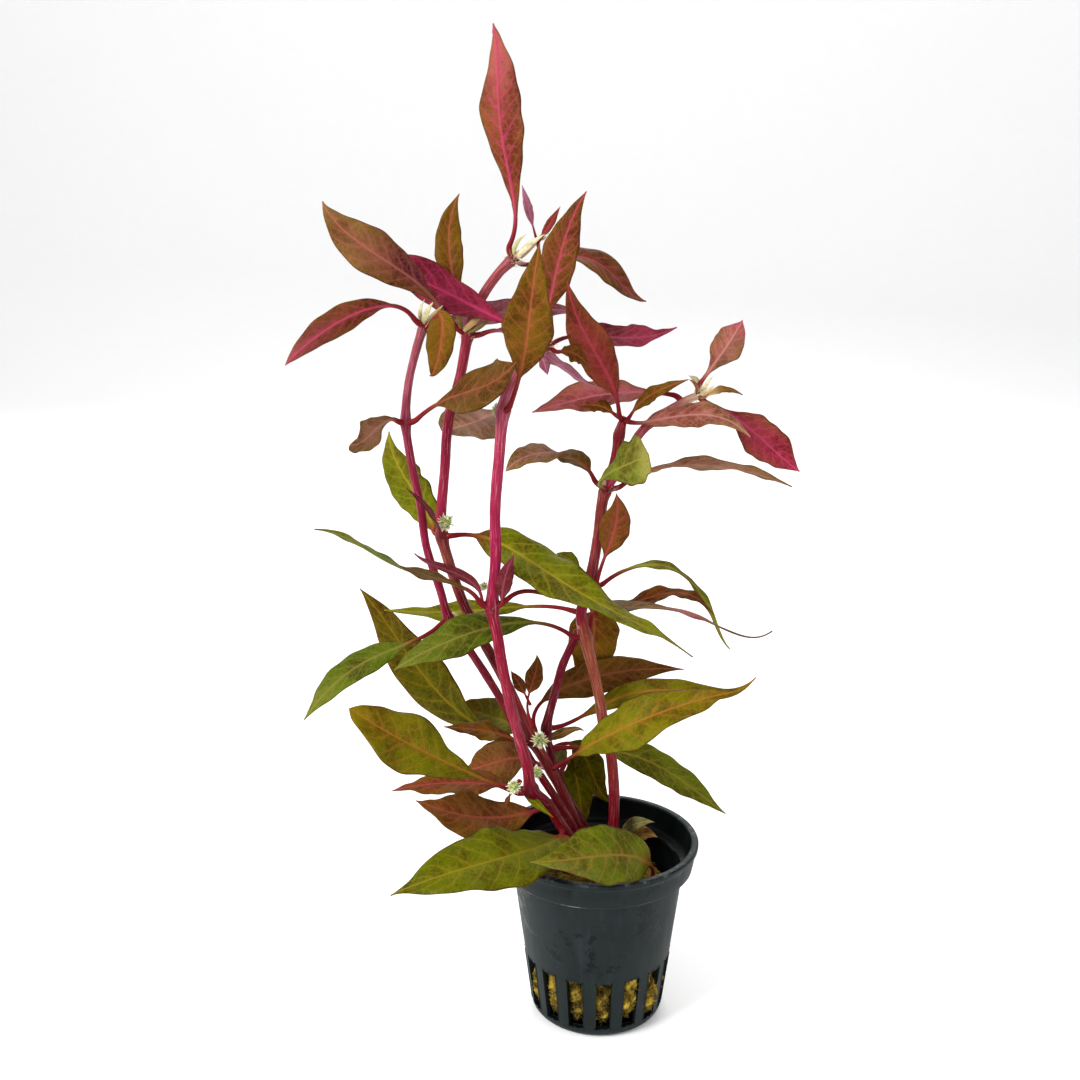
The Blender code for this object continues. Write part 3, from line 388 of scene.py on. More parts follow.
FLOWER_HEADS = {
    "flower_head_1": ((-15, -3.5, 76), 2.2),
    "flower_head_2": ((-16, -3.4, 67.2), 1.8),
    "flower_head_3": ((-21, -12, 67), 1.9),
    "flower_head_4": ((-38.5, 0, 131.5), 2.1),
    "flower_head_5": ((-28.3, -9.5, 118), 1.2),
    "flower_head_6": ((-24.6, -10.5, 161), 1.5),
    "flower_head_7": ((-20, 2, 72.2), 1.7),
    "flower_head_8": ((-37.6, 6, 105.6), 1.0),
}


def unit(vector):
    """The vectors at length 1."""
    return vector / np.linalg.norm(vector, axis=-1, keepdims=True)


def smooth_step(low, high, values):
    """0 up to low, 1 from high, and an even S between them."""
    share = np.clip((values - low) / (high - low), 0.0, 1.0)
    return share * share * (3 - 2 * share)


def smooth_run(points, shares):
    """The one polynomial through all the points, read at these shares of the run's length."""
    lengths = np.linalg.norm(np.diff(points, axis=0), axis=1)
    knots = np.concatenate([[0.0], np.cumsum(lengths)]) / lengths.sum()
    run = np.zeros((len(shares), 3))
    for number, point in enumerate(points):
        others = np.delete(knots, number)
        weights = np.prod((shares[:, None] - others) / (knots[number] - others), axis=1)
        run += weights[:, None] * point
    return run


def spline(points, places):
    """A curve through all the points, read at places that count points from 0. Between two points
    it is the cubic whose directions at both are those of the chords past them."""
    points = np.asarray(points, float)
    padded = np.vstack([2 * points[0] - points[1], points, 2 * points[-1] - points[-2]])
    first = np.clip(np.floor(places).astype(int), 0, len(points) - 2)
    u = (places - first)[:, None]
    a, b, c, d = (padded[first + step] for step in range(4))
    return 0.5 * (2 * b + (c - a) * u + (2 * a - 5 * b + 4 * c - d) * u ** 2
                  + (3 * b - a - 3 * c + d) * u ** 3)


def ripple(values, seed, octaves=4):
    """A smooth random run between about -1 and 1: sines of rising number with random phases."""
    rng = np.random.default_rng(seed)
    total = np.zeros_like(np.asarray(values, float))
    for octave in range(octaves):
        total += np.sin(values * 1.9 ** octave * rng.uniform(0.8, 1.2) + rng.uniform(0, 7)) / 1.5 ** octave
    return total / 2.2


class Surface:
    """Closed surfaces joined in one mesh, with the values that its material reads."""

    def __init__(self):
        self.points = []
        self.quads = []
        self.triangles = []
        self.values = {}
        self.count = 0

    def add(self, points, quads, triangles, values):
        self.points.append(points)
        self.quads.append(quads + self.count)
        self.triangles.append(triangles + self.count)
        for name, value in values.items():
            self.values.setdefault(name, []).append(value)
        self.count += len(points)

    def tube(self, rings, foot, tip, **values):
        """Rings of points, rows by columns, each ring closed, and one point that closes each end.
        The rings run clockwise seen from the foot's outside, so that the faces look outward."""
        rows, columns = rings.shape[:2]
        base = np.arange(rows * columns).reshape(rows, columns)
        turned = np.roll(base, -1, axis=1)
        quads = np.stack([base[:-1], turned[:-1], turned[1:], base[1:]], axis=-1).reshape(-1, 4)
        last = rows * columns
        low = np.stack([np.full(columns, last), turned[0], base[0]], axis=-1)
        high = np.stack([np.full(columns, last + 1), base[-1], turned[-1]], axis=-1)
        points = np.vstack([rings.reshape(-1, 3), [foot], [tip]])
        flat = {}
        for name, value in values.items():
            wide = np.broadcast_to(value, (rows, columns, np.shape(value)[-1]))
            ends = np.stack([wide[0].mean(axis=0), wide[-1].mean(axis=0)])
            flat[name] = np.vstack([wide.reshape(rows * columns, -1), ends])
        self.add(points, quads, np.vstack([low, high]), flat)

    def strands(self, paths, widths, thickness, face, sides, **values):
        """Many pointed strands at once: paths is strands by rows by 3, widths the half widths at
        each row, thickness their share across, and face the way each strand's flat side looks."""
        strands, rows = paths.shape[:2]
        along = unit(np.gradient(paths, axis=1))
        side = unit(np.cross(face, along))
        upper = np.cross(along, side)
        turn = np.arange(sides) / sides * math.tau
        offset = side[:, :, None] * np.cos(turn)[:, None]
        offset = offset - upper[:, :, None] * (np.sin(turn) * thickness)[:, None]
        rings = paths[:, :, None] + offset * widths[:, :, None, None]
        size = rows * sides + 2
        base = np.arange(rows * sides).reshape(rows, sides)
        turned = np.roll(base, -1, axis=1)
        quads = np.stack([base[:-1], base[1:], turned[1:], turned[:-1]], axis=-1).reshape(-1, 4)
        low = np.stack([np.full(sides, size - 2), base[0], turned[0]], axis=-1)
        high = np.stack([np.full(sides, size - 1), turned[-1], base[-1]], axis=-1)
        steps = (np.arange(strands) * size)[:, None, None]
        points = np.concatenate([rings.reshape(strands, -1, 3), paths[:, :1], paths[:, -1:]
                                 + along[:, -1:] * widths[:, -1:, None]], axis=1)
        flat = {}
        for name, value in values.items():
            wide = np.broadcast_to(value, (strands, rows, np.shape(value)[-1]))
            rows_of = np.repeat(wide, sides, axis=1)
            flat[name] = np.concatenate([rows_of, wide[:, :1], wide[:, -1:]], axis=1)
            flat[name] = flat[name].reshape(strands * size, -1)
        ends = np.vstack([low, high])
        self.add(points.reshape(-1, 3), (quads[None] + steps).reshape(-1, 4),
                 (ends[None] + steps).reshape(-1, 3), flat)

    def make(self, name, material, nodes=()):
        """The mesh as a piece of the plant, in place of these CAD nodes."""
        points = np.vstack(self.points) * MM
        quads = np.vstack(self.quads) if self.quads else np.zeros((0, 4), int)
        triangles = np.vstack(self.triangles) if self.triangles else np.zeros((0, 3), int)
        mesh = bpy.data.meshes.new(name)
        mesh.vertices.add(len(points))
        mesh.vertices.foreach_set("co", points.ravel())
        corners = np.concatenate([quads.ravel(), triangles.ravel()]).astype(np.int32)
        sizes = np.concatenate([np.full(len(quads), 4), np.full(len(triangles), 3)])
        starts = np.concatenate([[0], np.cumsum(sizes)[:-1]]).astype(np.int32)
        mesh.loops.add(len(corners))
        mesh.loops.foreach_set("vertex_index", corners)
        mesh.polygons.add(len(sizes))
        mesh.polygons.foreach_set("loop_start", starts)
        mesh.polygons.foreach_set("use_smooth", np.ones(len(sizes), bool))
        mesh.update(calc_edges=True)
        mesh.validate()
        for key, parts in self.values.items():
            value = np.vstack(parts)
            if key == "uv":
                layer = mesh.uv_layers.new(name="UVMap")
                layer.data.foreach_set("uv", value[corners].astype(np.float32).ravel())
            elif key.endswith("tint"):
                colours = np.hstack([value, np.ones((len(value), 1))])
                layer = mesh.attributes.new(key, "FLOAT_COLOR", "POINT")
                layer.data.foreach_set("color", colours.astype(np.float32).ravel())
            else:
                layer = mesh.attributes.new(key, "FLOAT_VECTOR", "POINT")
                layer.data.foreach_set("vector", value.astype(np.float32).ravel())
        mesh.materials.append(material)
        piece = bpy.data.objects.new(name, mesh)
        bpy.context.scene.collection.objects.link(piece)
        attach(piece, "root")
        if nodes:
            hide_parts(*nodes)
        return piece


def stem_radius(name, number):
    """The stem's radius at one of its points."""
    foot, top, nodes, points = STEMS[name]
    radius = foot + (top - foot) * number / (len(points) - 1)
    return radius * (1.35 if number in nodes else 1.0)


def leaf_foot(stem, number, first):
    """Where a leaf's stalk leaves the stem's surface, and the way out of the stem there."""
    points = np.array(STEMS[stem][3], float)
    before, after = points[max(number - 1, 0)], points[min(number + 1, len(points) - 1)]
    along = unit(after - before)
    out = first - points[number]
    out = unit(out - along * (out @ along))
    return points[number] + out * (stem_radius(stem, number) + 0.8), out


def leaf_midrib(facts, rows, joint_rows):
    """The midrib's points, its share of the leaf's length at each of them and its directions. It
    starts inside the stem, comes out on a short curve and then follows the table's points."""
    points = np.array(facts["via"], float)
    if facts["stem"]:
        foot, out = leaf_foot(facts["stem"], facts["node"], points[0])
        inside = np.array(STEMS[facts["stem"]][3][facts["node"]], float) + 0.15 * out
        points = np.vstack([foot, points])
    else:
        out = unit(points[1] - points[0])
        inside = points[0] - out * 1.5
    length = np.linalg.norm(np.diff(points, axis=0), axis=1).sum()
    start = min(0.1, 1.6 / length)
    shares = start + (1 - start) * (1 - (1 - np.linspace(0, 1, rows)) ** 1.12)
    run = smooth_run(points, shares)
    step = 0.002
    leaving = unit(smooth_run(points, np.array([start + step]))
                   - smooth_run(points, np.array([start - step])))[0]
    reach = np.linalg.norm(run[0] - inside)
    u = np.linspace(0, 1, joint_rows, endpoint=False)[:, None]
    joint = ((2 * u ** 3 - 3 * u ** 2 + 1) * inside + (u ** 3 - 2 * u ** 2 + u) * out * reach
             + (3 * u ** 2 - 2 * u ** 3) * run[0] + (u ** 3 - u ** 2) * leaving * reach)
    run = np.vstack([joint, run])
    shares = np.concatenate([u[:, 0] * start, shares])
    distance = np.concatenate([[0], np.cumsum(np.linalg.norm(np.diff(run, axis=0), axis=1))])
    along = unit(np.gradient(run, distance, axis=0))
    return run, shares, along, length


def leaf_widths(facts, half, place, v, phases):
    """Half the blade's width at every point: the outline's own, a little wavy in a different way
    on each side, with each lobe added as a bell curve on its side."""
    wide = np.broadcast_to(half[:, None], place.shape).copy()
    for number, sign in enumerate((-1, 1)):
        on_side = (np.sign(v) == sign)[None, :]
        wavy = 1 + 0.045 * np.sin(place * 17 + phases[number])
        wavy = wavy + 0.025 * np.sin(place * 43 + phases[2 + number])
        wide = np.where(on_side, wide * wavy, wide)
    for sign, middle, height, spread in facts["lobes"]:
        bump = height * np.exp(-((place - middle) / spread) ** 2)
        wide = np.where((np.sign(v) == sign)[None, :], np.maximum(wide + bump * (wide > 0.8), 0), wide)
    return wide


def leaf_tints(facts, shift, seed, place, v, facing):
    """The colours of the blade and of its veins at every point: from base to tip on the side that
    faces the camera, plain on the other, olive in patches towards some leaves' margins, the
    stalk's red at the foot, and each stain and each patch of painted shade as a soft round spot."""
    edge = np.abs(v)[None, :]
    looks = [np.array(tone(*colour)) for colour in LEAF_LOOKS[facts["look"]]]
    ends = smooth_step(0.5, 1.0, place)[:, :, None]
    shade = 1 + 0.1 * shift + 0.12 * ripple(place * 6 + v, seed + 3)[:, :, None]
    front = (looks[0] * (1 - ends) + looks[1] * ends) * shade
    back = np.broadcast_to(looks[3], front.shape) * shade
    base = np.where(facing, front, back)
    if facts["look"] in TWO_TONED:
        olive = base * np.array([0.45, 0.6, 0.3]) + np.array(tone(118, 90, 14)) * 0.5
        reach_in = smooth_step(0.3 + 0.22 * ripple(place * 11 + 2 * v, seed + 4), 1.05, edge)
        base = base + (olive - base) * (0.85 * reach_in)[:, :, None]
    ribs = np.where(facing, looks[2], looks[4]) * np.ones_like(front)
    base = base + (ribs - base) * (0.22 * (1 - smooth_step(0.0, 0.4, edge)))[:, :, None]
    stalk, red = facts["stalk"], np.array(tone(*STALK_COLOUR))
    on_stalk = 1 - smooth_step(stalk * 0.5, stalk + 0.12, place)[:, :, None]
    base = base + (red - base) * on_stalk
    ribs = ribs + (red - ribs) * on_stalk
    for where, across, size_t, size_v, colour, strength in facts["stains_and_shade"]:
        weight = np.exp(-((place - where) / size_t) ** 2 - ((v - across) / size_v) ** 2)[:, :, None]
        base = base + (np.array(tone(*colour)) - base) * np.clip(weight * strength, 0, 1)
    return base, ribs


def leaf_surface(surface, facts, seed, settings):
    """One leaf as a closed two-sided sheet round its midrib.

    Across the leaf, v runs from -1 at one margin to 1 at the other, on the upper side and back
    on the lower. The half width is the larger of the blade, sin(pi b^k) to a power where b runs
    along the blade, and of the stalk's rod, which thins along the midrib and stands out below.
    The blade folds up along the midrib, arches down towards its margins, waves most at the
    margins, and sinks along the side veins, which leave the midrib forward and bend to the tip.
    """
    rng = np.random.default_rng(seed)
    run, shares, along, length = leaf_midrib(facts, settings.rows, 8)
    face = (1 - shares)[:, None] * unit(np.array(facts["faces"][0], float))
    face = face + shares[:, None] * unit(np.array(facts["faces"][1], float))
    side = unit(np.cross(face, along))
    upper = np.cross(along, side)
    stalk = facts["stalk"]
    blade = np.clip((shares - stalk) / (1 - stalk), 0.0, 1.0)
    power = facts["powers"][0] + (facts["powers"][1] - facts["powers"][0]) * blade
    swell = np.sin(np.pi * blade ** (math.log(0.5) / math.log(facts["widest"])))
    half = np.maximum(0.0, swell) ** power * facts["width"] / 2
    rod = facts["rod"] * (1 - 0.72 * shares ** 0.8) * (1 + 0.35 * np.exp(-(shares * length / 1.6) ** 2))
    steps = np.linspace(-1, 1, settings.columns)
    over = np.sign(steps) * np.abs(steps) ** 1.45
    v = np.concatenate([over, over[::-1][1:-1]])
    top = np.concatenate([np.ones(len(over)), -np.ones(len(over) - 2)])
    place = np.broadcast_to(shares[:, None], (len(shares), len(v)))
    edge = np.abs(v)[None, :]
    phases = rng.uniform(0, math.tau, 8)
    wide = leaf_widths(facts, half, place, v, phases)
    reach = np.hypot(wide, rod[:, None])
    x = reach * v
    blade_share = smooth_step(0.0, 1.4, wide)
    lift = facts["fold"] * settings.fold * np.abs(x) * blade_share
    lift = lift - facts["arch"] * x * x / np.maximum(half.max(), 1.0) * blade_share * 1.6
    height, number, phase = facts["waves"]
    for sign, shift in ((-1, 0.0), (1, 1.9)):
        turn = math.tau * (number * place + phase) + shift + phases[4]
        fine = 0.28 * np.sin(math.tau * number * 2.7 * place + phases[5] + shift * 2)
        wave = height * settings.waves * (np.sin(turn) + fine) * edge ** 1.7
        lift = lift + np.where((np.sign(v) == sign)[None, :], wave, 0) * smooth_step(0.5, 2.5, wide)
    veins = facts["veins"]
    wobble = 0.16 * ripple(place * 9 + v * 1.3, seed + 1) + 0.1 * ripple(place * 21 - v * 3, seed + 2)
    vein = veins * np.broadcast_to(blade[:, None], place.shape) * 1.12 - 1.5 * edge ** 1.3
    vein = vein + 0.5 * (v > 0)[None, :] + wobble + rng.uniform(0, 1)
    between = 0.5 - 0.5 * np.cos(vein * math.tau)
    quilt = settings.quilting * (between ** 0.6) * edge ** 0.45 * (1 - edge ** 5)
    lift = lift + quilt * smooth_step(0.6, 2.4, wide)
    thin = settings.thickness / 2 * np.sqrt(np.maximum(1 - edge ** 6, 0))
    round_rod = np.sqrt(np.maximum(rod[:, None] ** 2 - x * x, 0))
    share_rod = (rod[:, None] / reach) ** 2
    above = (thin ** 3 + (round_rod * (0.28 + 0.72 * share_rod)) ** 3) ** (1 / 3)
    groove = 0.16 * np.exp(-(x / 0.42) ** 2) * blade_share * (1 - shares[:, None])
    below = -(thin ** 3 + round_rod ** 3) ** (1 / 3)
    lift = lift + np.where(top > 0, above - groove, below)
    rings = run[:, None] + side[:, None] * x[:, :, None] + upper[:, None] * lift[:, :, None]
    seen = -(upper[:, 1] * smooth_step(0, 1, half)).sum() > 0
    facing = (top > 0) if seen else (top < 0)
    base, ribs = leaf_tints(facts, rng.normal(), seed, place, v, facing[None, :, None])
    coat = np.stack([place, np.broadcast_to(0.5 + 0.5 * v, place.shape)], axis=-1)
    marks = np.stack([vein, np.full(place.shape, rng.uniform(0, 50)),
                      np.broadcast_to(top, place.shape)], axis=-1)
    sizes = np.stack([np.abs(x), np.broadcast_to(rod[:, None], place.shape),
                      np.broadcast_to(blade[:, None], place.shape)], axis=-1)
    foot = run[0] - along[0] * 0.2
    tip = run[-1] + along[-1] * 0.25
    surface.tube(rings, foot, tip, uv=coat, base_tint=base, vein_tint=ribs, leaf_marks=marks,
                 leaf_sizes=sizes)


def stem_lines(name, spacing):
    """The stem's axis from inside the rock wool to its top, and its places counted in points."""
    points = list(STEMS[name][3])
    sunk = points[0][2] < 40
    if sunk:
        x, y, z = points[0]
        points.insert(0, (x * 0.9, y * 0.9, z - 6))
    length = np.linalg.norm(np.diff(np.array(points), axis=0), axis=1).sum()
    places = np.linspace(0, len(points) - 1, int(length / spacing))
    return spline(points, places), places - (1 if sunk else 0)


def stem_surface(surface, name, seed, settings):
    """A stem as rings round a smooth curve: a little thicker in a short collar at each node,
    with shallow lengthwise ribs, and rounded off at its top."""
    foot, top, nodes, points = STEMS[name]
    run, places = stem_lines(name, settings.spacing)
    distance = np.concatenate([[0], np.cumsum(np.linalg.norm(np.diff(run, axis=0), axis=1))])
    along = unit(np.gradient(run, distance, axis=0))
    reference = np.array([0.0, -1.0, 0.15])
    side = unit(np.cross(along, reference))
    out = np.cross(side, along)
    share = np.clip(places / (len(points) - 1), 0, 1)
    radius = foot + (top - foot) * share
    collar = np.zeros(len(run))
    for node in nodes:
        gap = distance - np.interp(node, places, distance)
        collar = collar + np.exp(-(gap / 1.7) ** 2) + 0.35 * np.exp(-(gap / 5.0) ** 2)
    radius = radius * (0.97 + settings.swelling * collar) + 0.05 * ripple(distance * 0.4, seed)
    to_top = distance[-1] - distance
    radius = radius * np.sqrt(np.clip(1 - (1 - np.clip(to_top / 1.3, 0, 1)) ** 2, 0.02, 1))
    turn = np.arange(settings.columns) / settings.columns * math.tau
    twist = distance[:, None] * 0.004 + turn
    ribs = 1 + settings.ribs * (np.cos(5 * twist) + 0.5 * np.cos(8 * twist + seed))
    rings = run[:, None] + (radius[:, None] * ribs)[:, :, None] * (
        side[:, None] * np.cos(turn)[:, None] + out[:, None] * np.sin(turn)[:, None])
    heights, colours = zip(*STEM_TONES[name])
    tints = np.array([tone(*colour) for colour in colours])
    base = np.stack([np.interp(share, heights, tints[:, band]) for band in range(3)], axis=-1)
    dark = 1 - 0.18 * np.clip(collar, 0, 1)[:, None]
    base = np.broadcast_to((base * dark)[:, None], (*rings.shape[:2], 3))
    skin = np.stack(np.broadcast_arrays(np.cos(turn) * 2.2, np.sin(turn) * 2.2,
                                        distance[:, None] * 0.09), axis=-1)
    coat = np.stack(np.broadcast_arrays(distance[:, None] / 100, turn / math.tau), axis=-1)
    surface.tube(rings, run[0] - along[0] * 0.3, run[-1] + along[-1] * 0.12, uv=coat,
                 base_tint=base, skin=skin)


class Tree:
    """A material's node tree, with a short way to add its nodes."""

    def __init__(self, name):
        self.material = bpy.data.materials.new(name)
        self.material.use_nodes = True
        self.nodes = self.material.node_tree.nodes
        self.links = self.material.node_tree.links
        self.shader = self.nodes["Principled BSDF"]

    def add(self, kind, inputs=(), **settings):
        """A node with these settings. inputs pairs a socket with a value or an output."""
        made = self.nodes.new("ShaderNode" + kind)
        for key, value in settings.items():
            setattr(made, key, value)
        for key, value in dict(inputs).items():
            if isinstance(value, bpy.types.NodeSocket):
                self.links.new(value, made.inputs[key])
            else:
                made.inputs[key].default_value = value
        return made

    def reads(self, name, output="Vector"):
        """A value that the piece's own points hold."""
        return self.add("Attribute", attribute_name=name, attribute_type="GEOMETRY").outputs[output]

    def place(self):
        """Object coordinates, in metres."""
        return self.add("TexCoord").outputs["Object"]

    def parts(self, vector):
        split = self.add("SeparateXYZ", {0: vector}).outputs
        return split[0], split[1], split[2]

    def sum_of(self, operation, first, second=0.5, third=0.5):
        """The result of one Math node on up to three values."""
        return self.add("Math", {0: first, 1: second, 2: third}, operation=operation).outputs[0]

    def ramp(self, value, low, high, start=0.0, end=1.0):
        """A smooth step of the value from start at low to end at high."""
        return self.add("MapRange", {0: value, 1: low, 2: high, 3: start, 4: end},
                        interpolation_type="SMOOTHSTEP").outputs[0]

    def noise(self, scale, vector=None, detail=3.0, rough=0.55):
        """A noise of this many cells to the metre, in Object coordinates unless vector is given."""
        inputs = {"Vector": vector or self.place(), "Scale": scale, "Detail": detail, "Roughness": rough}
        return self.add("TexNoise", inputs).outputs[0]

    def mix(self, factor, first, second, blend="MIX"):
        """The first colour where the factor is 0 and the second where it is 1."""
        made = self.add("Mix", {0: factor, 6: first, 7: second}, data_type="RGBA", blend_type=blend)
        return made.outputs[2]

    def bump(self, height, distance, strength=1.0):
        return self.add("Bump", {"Height": height, "Distance": distance,
                                 "Strength": strength}).outputs[0]

    def finish(self, colour, roughness, normal=None, **constants):
        """The material, with these on its shader. constants are sockets that hold one value."""
        self.links.new(colour, self.shader.inputs["Base Color"])
        if isinstance(roughness, bpy.types.NodeSocket):
            self.links.new(roughness, self.shader.inputs["Roughness"])
        else:
            self.shader.inputs["Roughness"].default_value = roughness
        if normal:
            self.links.new(normal, self.shader.inputs["Normal"])
        for key, value in constants.items():
            self.shader.inputs[key.replace("_", " ")].default_value = value
        return self.material


def rgb(*colour, gain=0.55):
    """A screen colour as a shader's socket takes it."""
    return (*tone(*colour, gain=gain), 1.0)


def leaf_material(settings):
    """Leaf skin: the leaf's own tint, mottled, with its midrib, side veins, a net of finer veins
    and a darker margin; the side veins and the net of finer veins also dent the surface."""
    tree = Tree("leaf_skin")
    base = tree.reads("base_tint", "Color")
    ribs = tree.reads("vein_tint", "Color")
    vein, _, upper = tree.parts(tree.reads("leaf_marks"))
    x, rod, blade = tree.parts(tree.reads("leaf_sizes"))
    across = tree.parts(tree.add("UVMap").outputs[0])[1]
    v = tree.sum_of("ABSOLUTE", tree.sum_of("MULTIPLY_ADD", across, 2.0, -1.0))
    place = tree.place()
    warp = tree.noise(420.0, place, 2.0)
    bent = tree.sum_of("MULTIPLY_ADD", warp, 0.16, vein)
    split = tree.sum_of("FRACT", bent)
    gap = tree.sum_of("SUBTRACT", 0.5, tree.sum_of("ABSOLUTE", tree.sum_of("SUBTRACT", split, 0.5)))
    width = tree.sum_of("MULTIPLY_ADD", v, -0.03, 0.052)
    line = tree.sum_of("DIVIDE", gap, width)
    side_vein = tree.ramp(line, 0.25, 1.0, 1.0, 0.0)
    side_vein = tree.sum_of("MULTIPLY", side_vein, tree.ramp(v, 0.6, 0.97, 1.0, 0.0))
    side_vein = tree.sum_of("MULTIPLY", side_vein, tree.ramp(blade, 0.0, 0.06))
    net = tree.add("TexVoronoi", {"Vector": place, "Scale": 640.0}, feature="DISTANCE_TO_EDGE").outputs[0]
    net_vein = tree.ramp(net, 0.02, 0.13, 1.0, 0.0)
    midrib = tree.ramp(tree.sum_of("DIVIDE", x, rod), 0.55, 1.15, 1.0, 0.0)
    patches = tree.noise(115.0, place, 4.0, 0.6)
    mottle = tree.noise(620.0, place, 3.0, 0.6)
    deep = tree.mix(1.0, base, rgb(196, 170, 150, gain=1), "MULTIPLY")
    colour = tree.mix(tree.ramp(patches, 0.42, 0.64, 0.0, 0.95), base, deep)
    pale = tree.mix(0.25, base, ribs)
    colour = tree.mix(tree.ramp(mottle, 0.48, 0.72, 0.0, 0.7), colour, pale)
    flecks = tree.noise(2100.0, place, 2.0)
    colour = tree.mix(tree.ramp(flecks, 0.5, 0.7, 0.0, 0.45), colour, deep)
    near_vein = tree.ramp(line, 0.6, 6.0, 0.2, 0.0)
    colour = tree.mix(near_vein, colour, ribs)
    colour = tree.mix(tree.sum_of("MULTIPLY", net_vein, 0.2), colour, ribs)
    colour = tree.mix(tree.sum_of("MULTIPLY", side_vein, 0.45), colour, ribs)
    colour = tree.mix(tree.sum_of("MULTIPLY", midrib, 0.72), colour, ribs)
    edge = tree.mix(0.6, deep, rgb(96, 40, 44))
    colour = tree.mix(tree.ramp(v, 0.93, 1.0, 0.0, 0.55), colour, edge)
    sunk = tree.sum_of("ADD", tree.sum_of("MULTIPLY", side_vein, 0.7), tree.sum_of("MULTIPLY", net_vein, 0.3))
    relief = tree.sum_of("MULTIPLY", sunk, tree.sum_of("MULTIPLY", upper, -1.0))
    grain = tree.noise(3000.0, place, 2.0)
    height = tree.sum_of("MULTIPLY_ADD", grain, 0.12, relief)
    normal = tree.bump(height, 0.00012, settings.relief)
    sheen = tree.ramp(patches, 0.3, 0.7, 0.42, 0.56)
    return tree.finish(colour, tree.sum_of("MULTIPLY_ADD", midrib, 0.06, sheen), normal,
                       Subsurface_Weight=0.06, Subsurface_Scale=0.0005, Specular_IOR_Level=0.04)


def stem_material():
    """Stem skin: the stem's own tint in lengthwise streaks, a little translucent and glossy."""
    tree = Tree("stem_skin")
    base = tree.reads("base_tint", "Color")
    skin = tree.reads("skin")
    streaks = tree.noise(2.2, skin, 4.0, 0.6)
    fine = tree.noise(5.0, skin, 3.0, 0.6)
    spots = tree.noise(900.0, None, 2.0)
    dark = tree.mix(1.0, base, rgb(206, 160, 170, gain=1), "MULTIPLY")
    pale = tree.mix(0.3, base, rgb(255, 196, 196, gain=0.7))
    colour = tree.mix(tree.ramp(streaks, 0.35, 0.62), dark, base)
    colour = tree.mix(tree.ramp(streaks, 0.56, 0.72, 0.0, 0.8), colour, pale)
    colour = tree.mix(tree.ramp(fine, 0.5, 0.7, 0.0, 0.35), colour, dark)
    colour = tree.mix(tree.ramp(spots, 0.62, 0.75, 0.0, 0.25), colour, pale)
    normal = tree.bump(fine, 0.0001, 0.6)
    return tree.finish(colour, tree.ramp(fine, 0.3, 0.7, 0.3, 0.44), normal,
                       Subsurface_Weight=0.04, Subsurface_Scale=0.0006, Specular_IOR_Level=0.1)


def tinted_material(name, roughness, subsurface=0.0, speck=900.0):
    """A plain soft material that takes its colour from the piece, with a fine mottle."""
    tree = Tree(name)
    base = tree.reads("base_tint", "Color")
    spots = tree.noise(speck, None, 3.0)
    dark = tree.mix(1.0, base, rgb(196, 186, 170, gain=1), "MULTIPLY")
    colour = tree.mix(tree.ramp(spots, 0.4, 0.7, 0.0, 0.7), base, dark)
    normal = tree.bump(spots, 0.0001, 0.5)
    return tree.finish(colour, roughness, normal, Subsurface_Weight=subsurface,
                       Subsurface_Scale=0.0006, Specular_IOR_Level=0.2)


def pot_material():
    """Charcoal plastic, satin, with faint upright wiping marks, wet dark flecks, painted highlights on
    the collar's step and the lip, and painted shade that makes the inside nearly black."""
    tree = Tree("charcoal_plastic")
    place = tree.place()
    drawn = tree.add("Mapping", {0: place, 3: (1.0, 1.0, 0.12)}).outputs[0]
    cloud = tree.noise(55.0, place, 4.0, 0.6)
    wipe = tree.noise(420.0, drawn, 3.0, 0.6)
    fine = tree.noise(2600.0, place, 2.0)
    groups = tree.ramp(tree.noise(70.0, place, 1.0), 0.44, 0.54)
    wet = tree.ramp(tree.noise(310.0, place, 4.0, 0.6), 0.53, 0.56)
    height = tree.parts(place)[2]
    wet = tree.sum_of("MULTIPLY", tree.sum_of("MULTIPLY", wet, groups), tree.ramp(height, 0.016, 0.022))
    # Painted highlights: a pale line in broken patches along the collar's step, and pale patches on the lip's
    # top.
    at_step = tree.sum_of("ABSOLUTE", tree.sum_of("SUBTRACT", height, STEP_LINE))
    step = tree.ramp(at_step, 0.0001, 0.0004, 1.0, 0.0)
    at_lip = tree.ramp(height, 0.0472, 0.0479)
    highlight_breaks = tree.ramp(tree.noise(150.0, place, 3.0), 0.54, 0.62)
    colour = tree.mix(tree.ramp(cloud, 0.3, 0.7), rgb(*POT_DARK), rgb(*POT_PALE))
    colour = tree.mix(tree.ramp(wipe, 0.45, 0.75, 0.0, 0.3), colour, rgb(60, 70, 76))
    colour = tree.mix(tree.ramp(fine, 0.6, 0.8, 0.0, 0.2), colour, rgb(82, 90, 96))
    colour = tree.mix(tree.sum_of("MULTIPLY", wet, 0.8), colour, rgb(8, 13, 14))
    lip_highlight = tree.sum_of("MULTIPLY", at_lip, tree.ramp(wipe, 0.5, 0.7, 0.0, 0.3))
    colour = tree.mix(tree.sum_of("MAXIMUM", tree.sum_of("MULTIPLY", step, highlight_breaks), lip_highlight), colour,
                      rgb(160, 166, 162))
    # Painted shade: the inside of the wall is mixed almost to black.
    inside = tree.parts(tree.reads("inner", "Vector"))[0]
    colour = tree.mix(inside, colour, rgb(5, 7, 9))
    rough = tree.ramp(wipe, 0.3, 0.7, 0.42, 0.55)
    rough = tree.mix(wet, rough, (0.3, 0.3, 0.3, 1.0))
    relief = tree.sum_of("MULTIPLY_ADD", wet, 0.4, tree.sum_of("MULTIPLY", fine, 0.12))
    normal = tree.bump(relief, 0.00012, 0.6)
    return tree.finish(colour, rough, normal, Specular_IOR_Level=0.12)


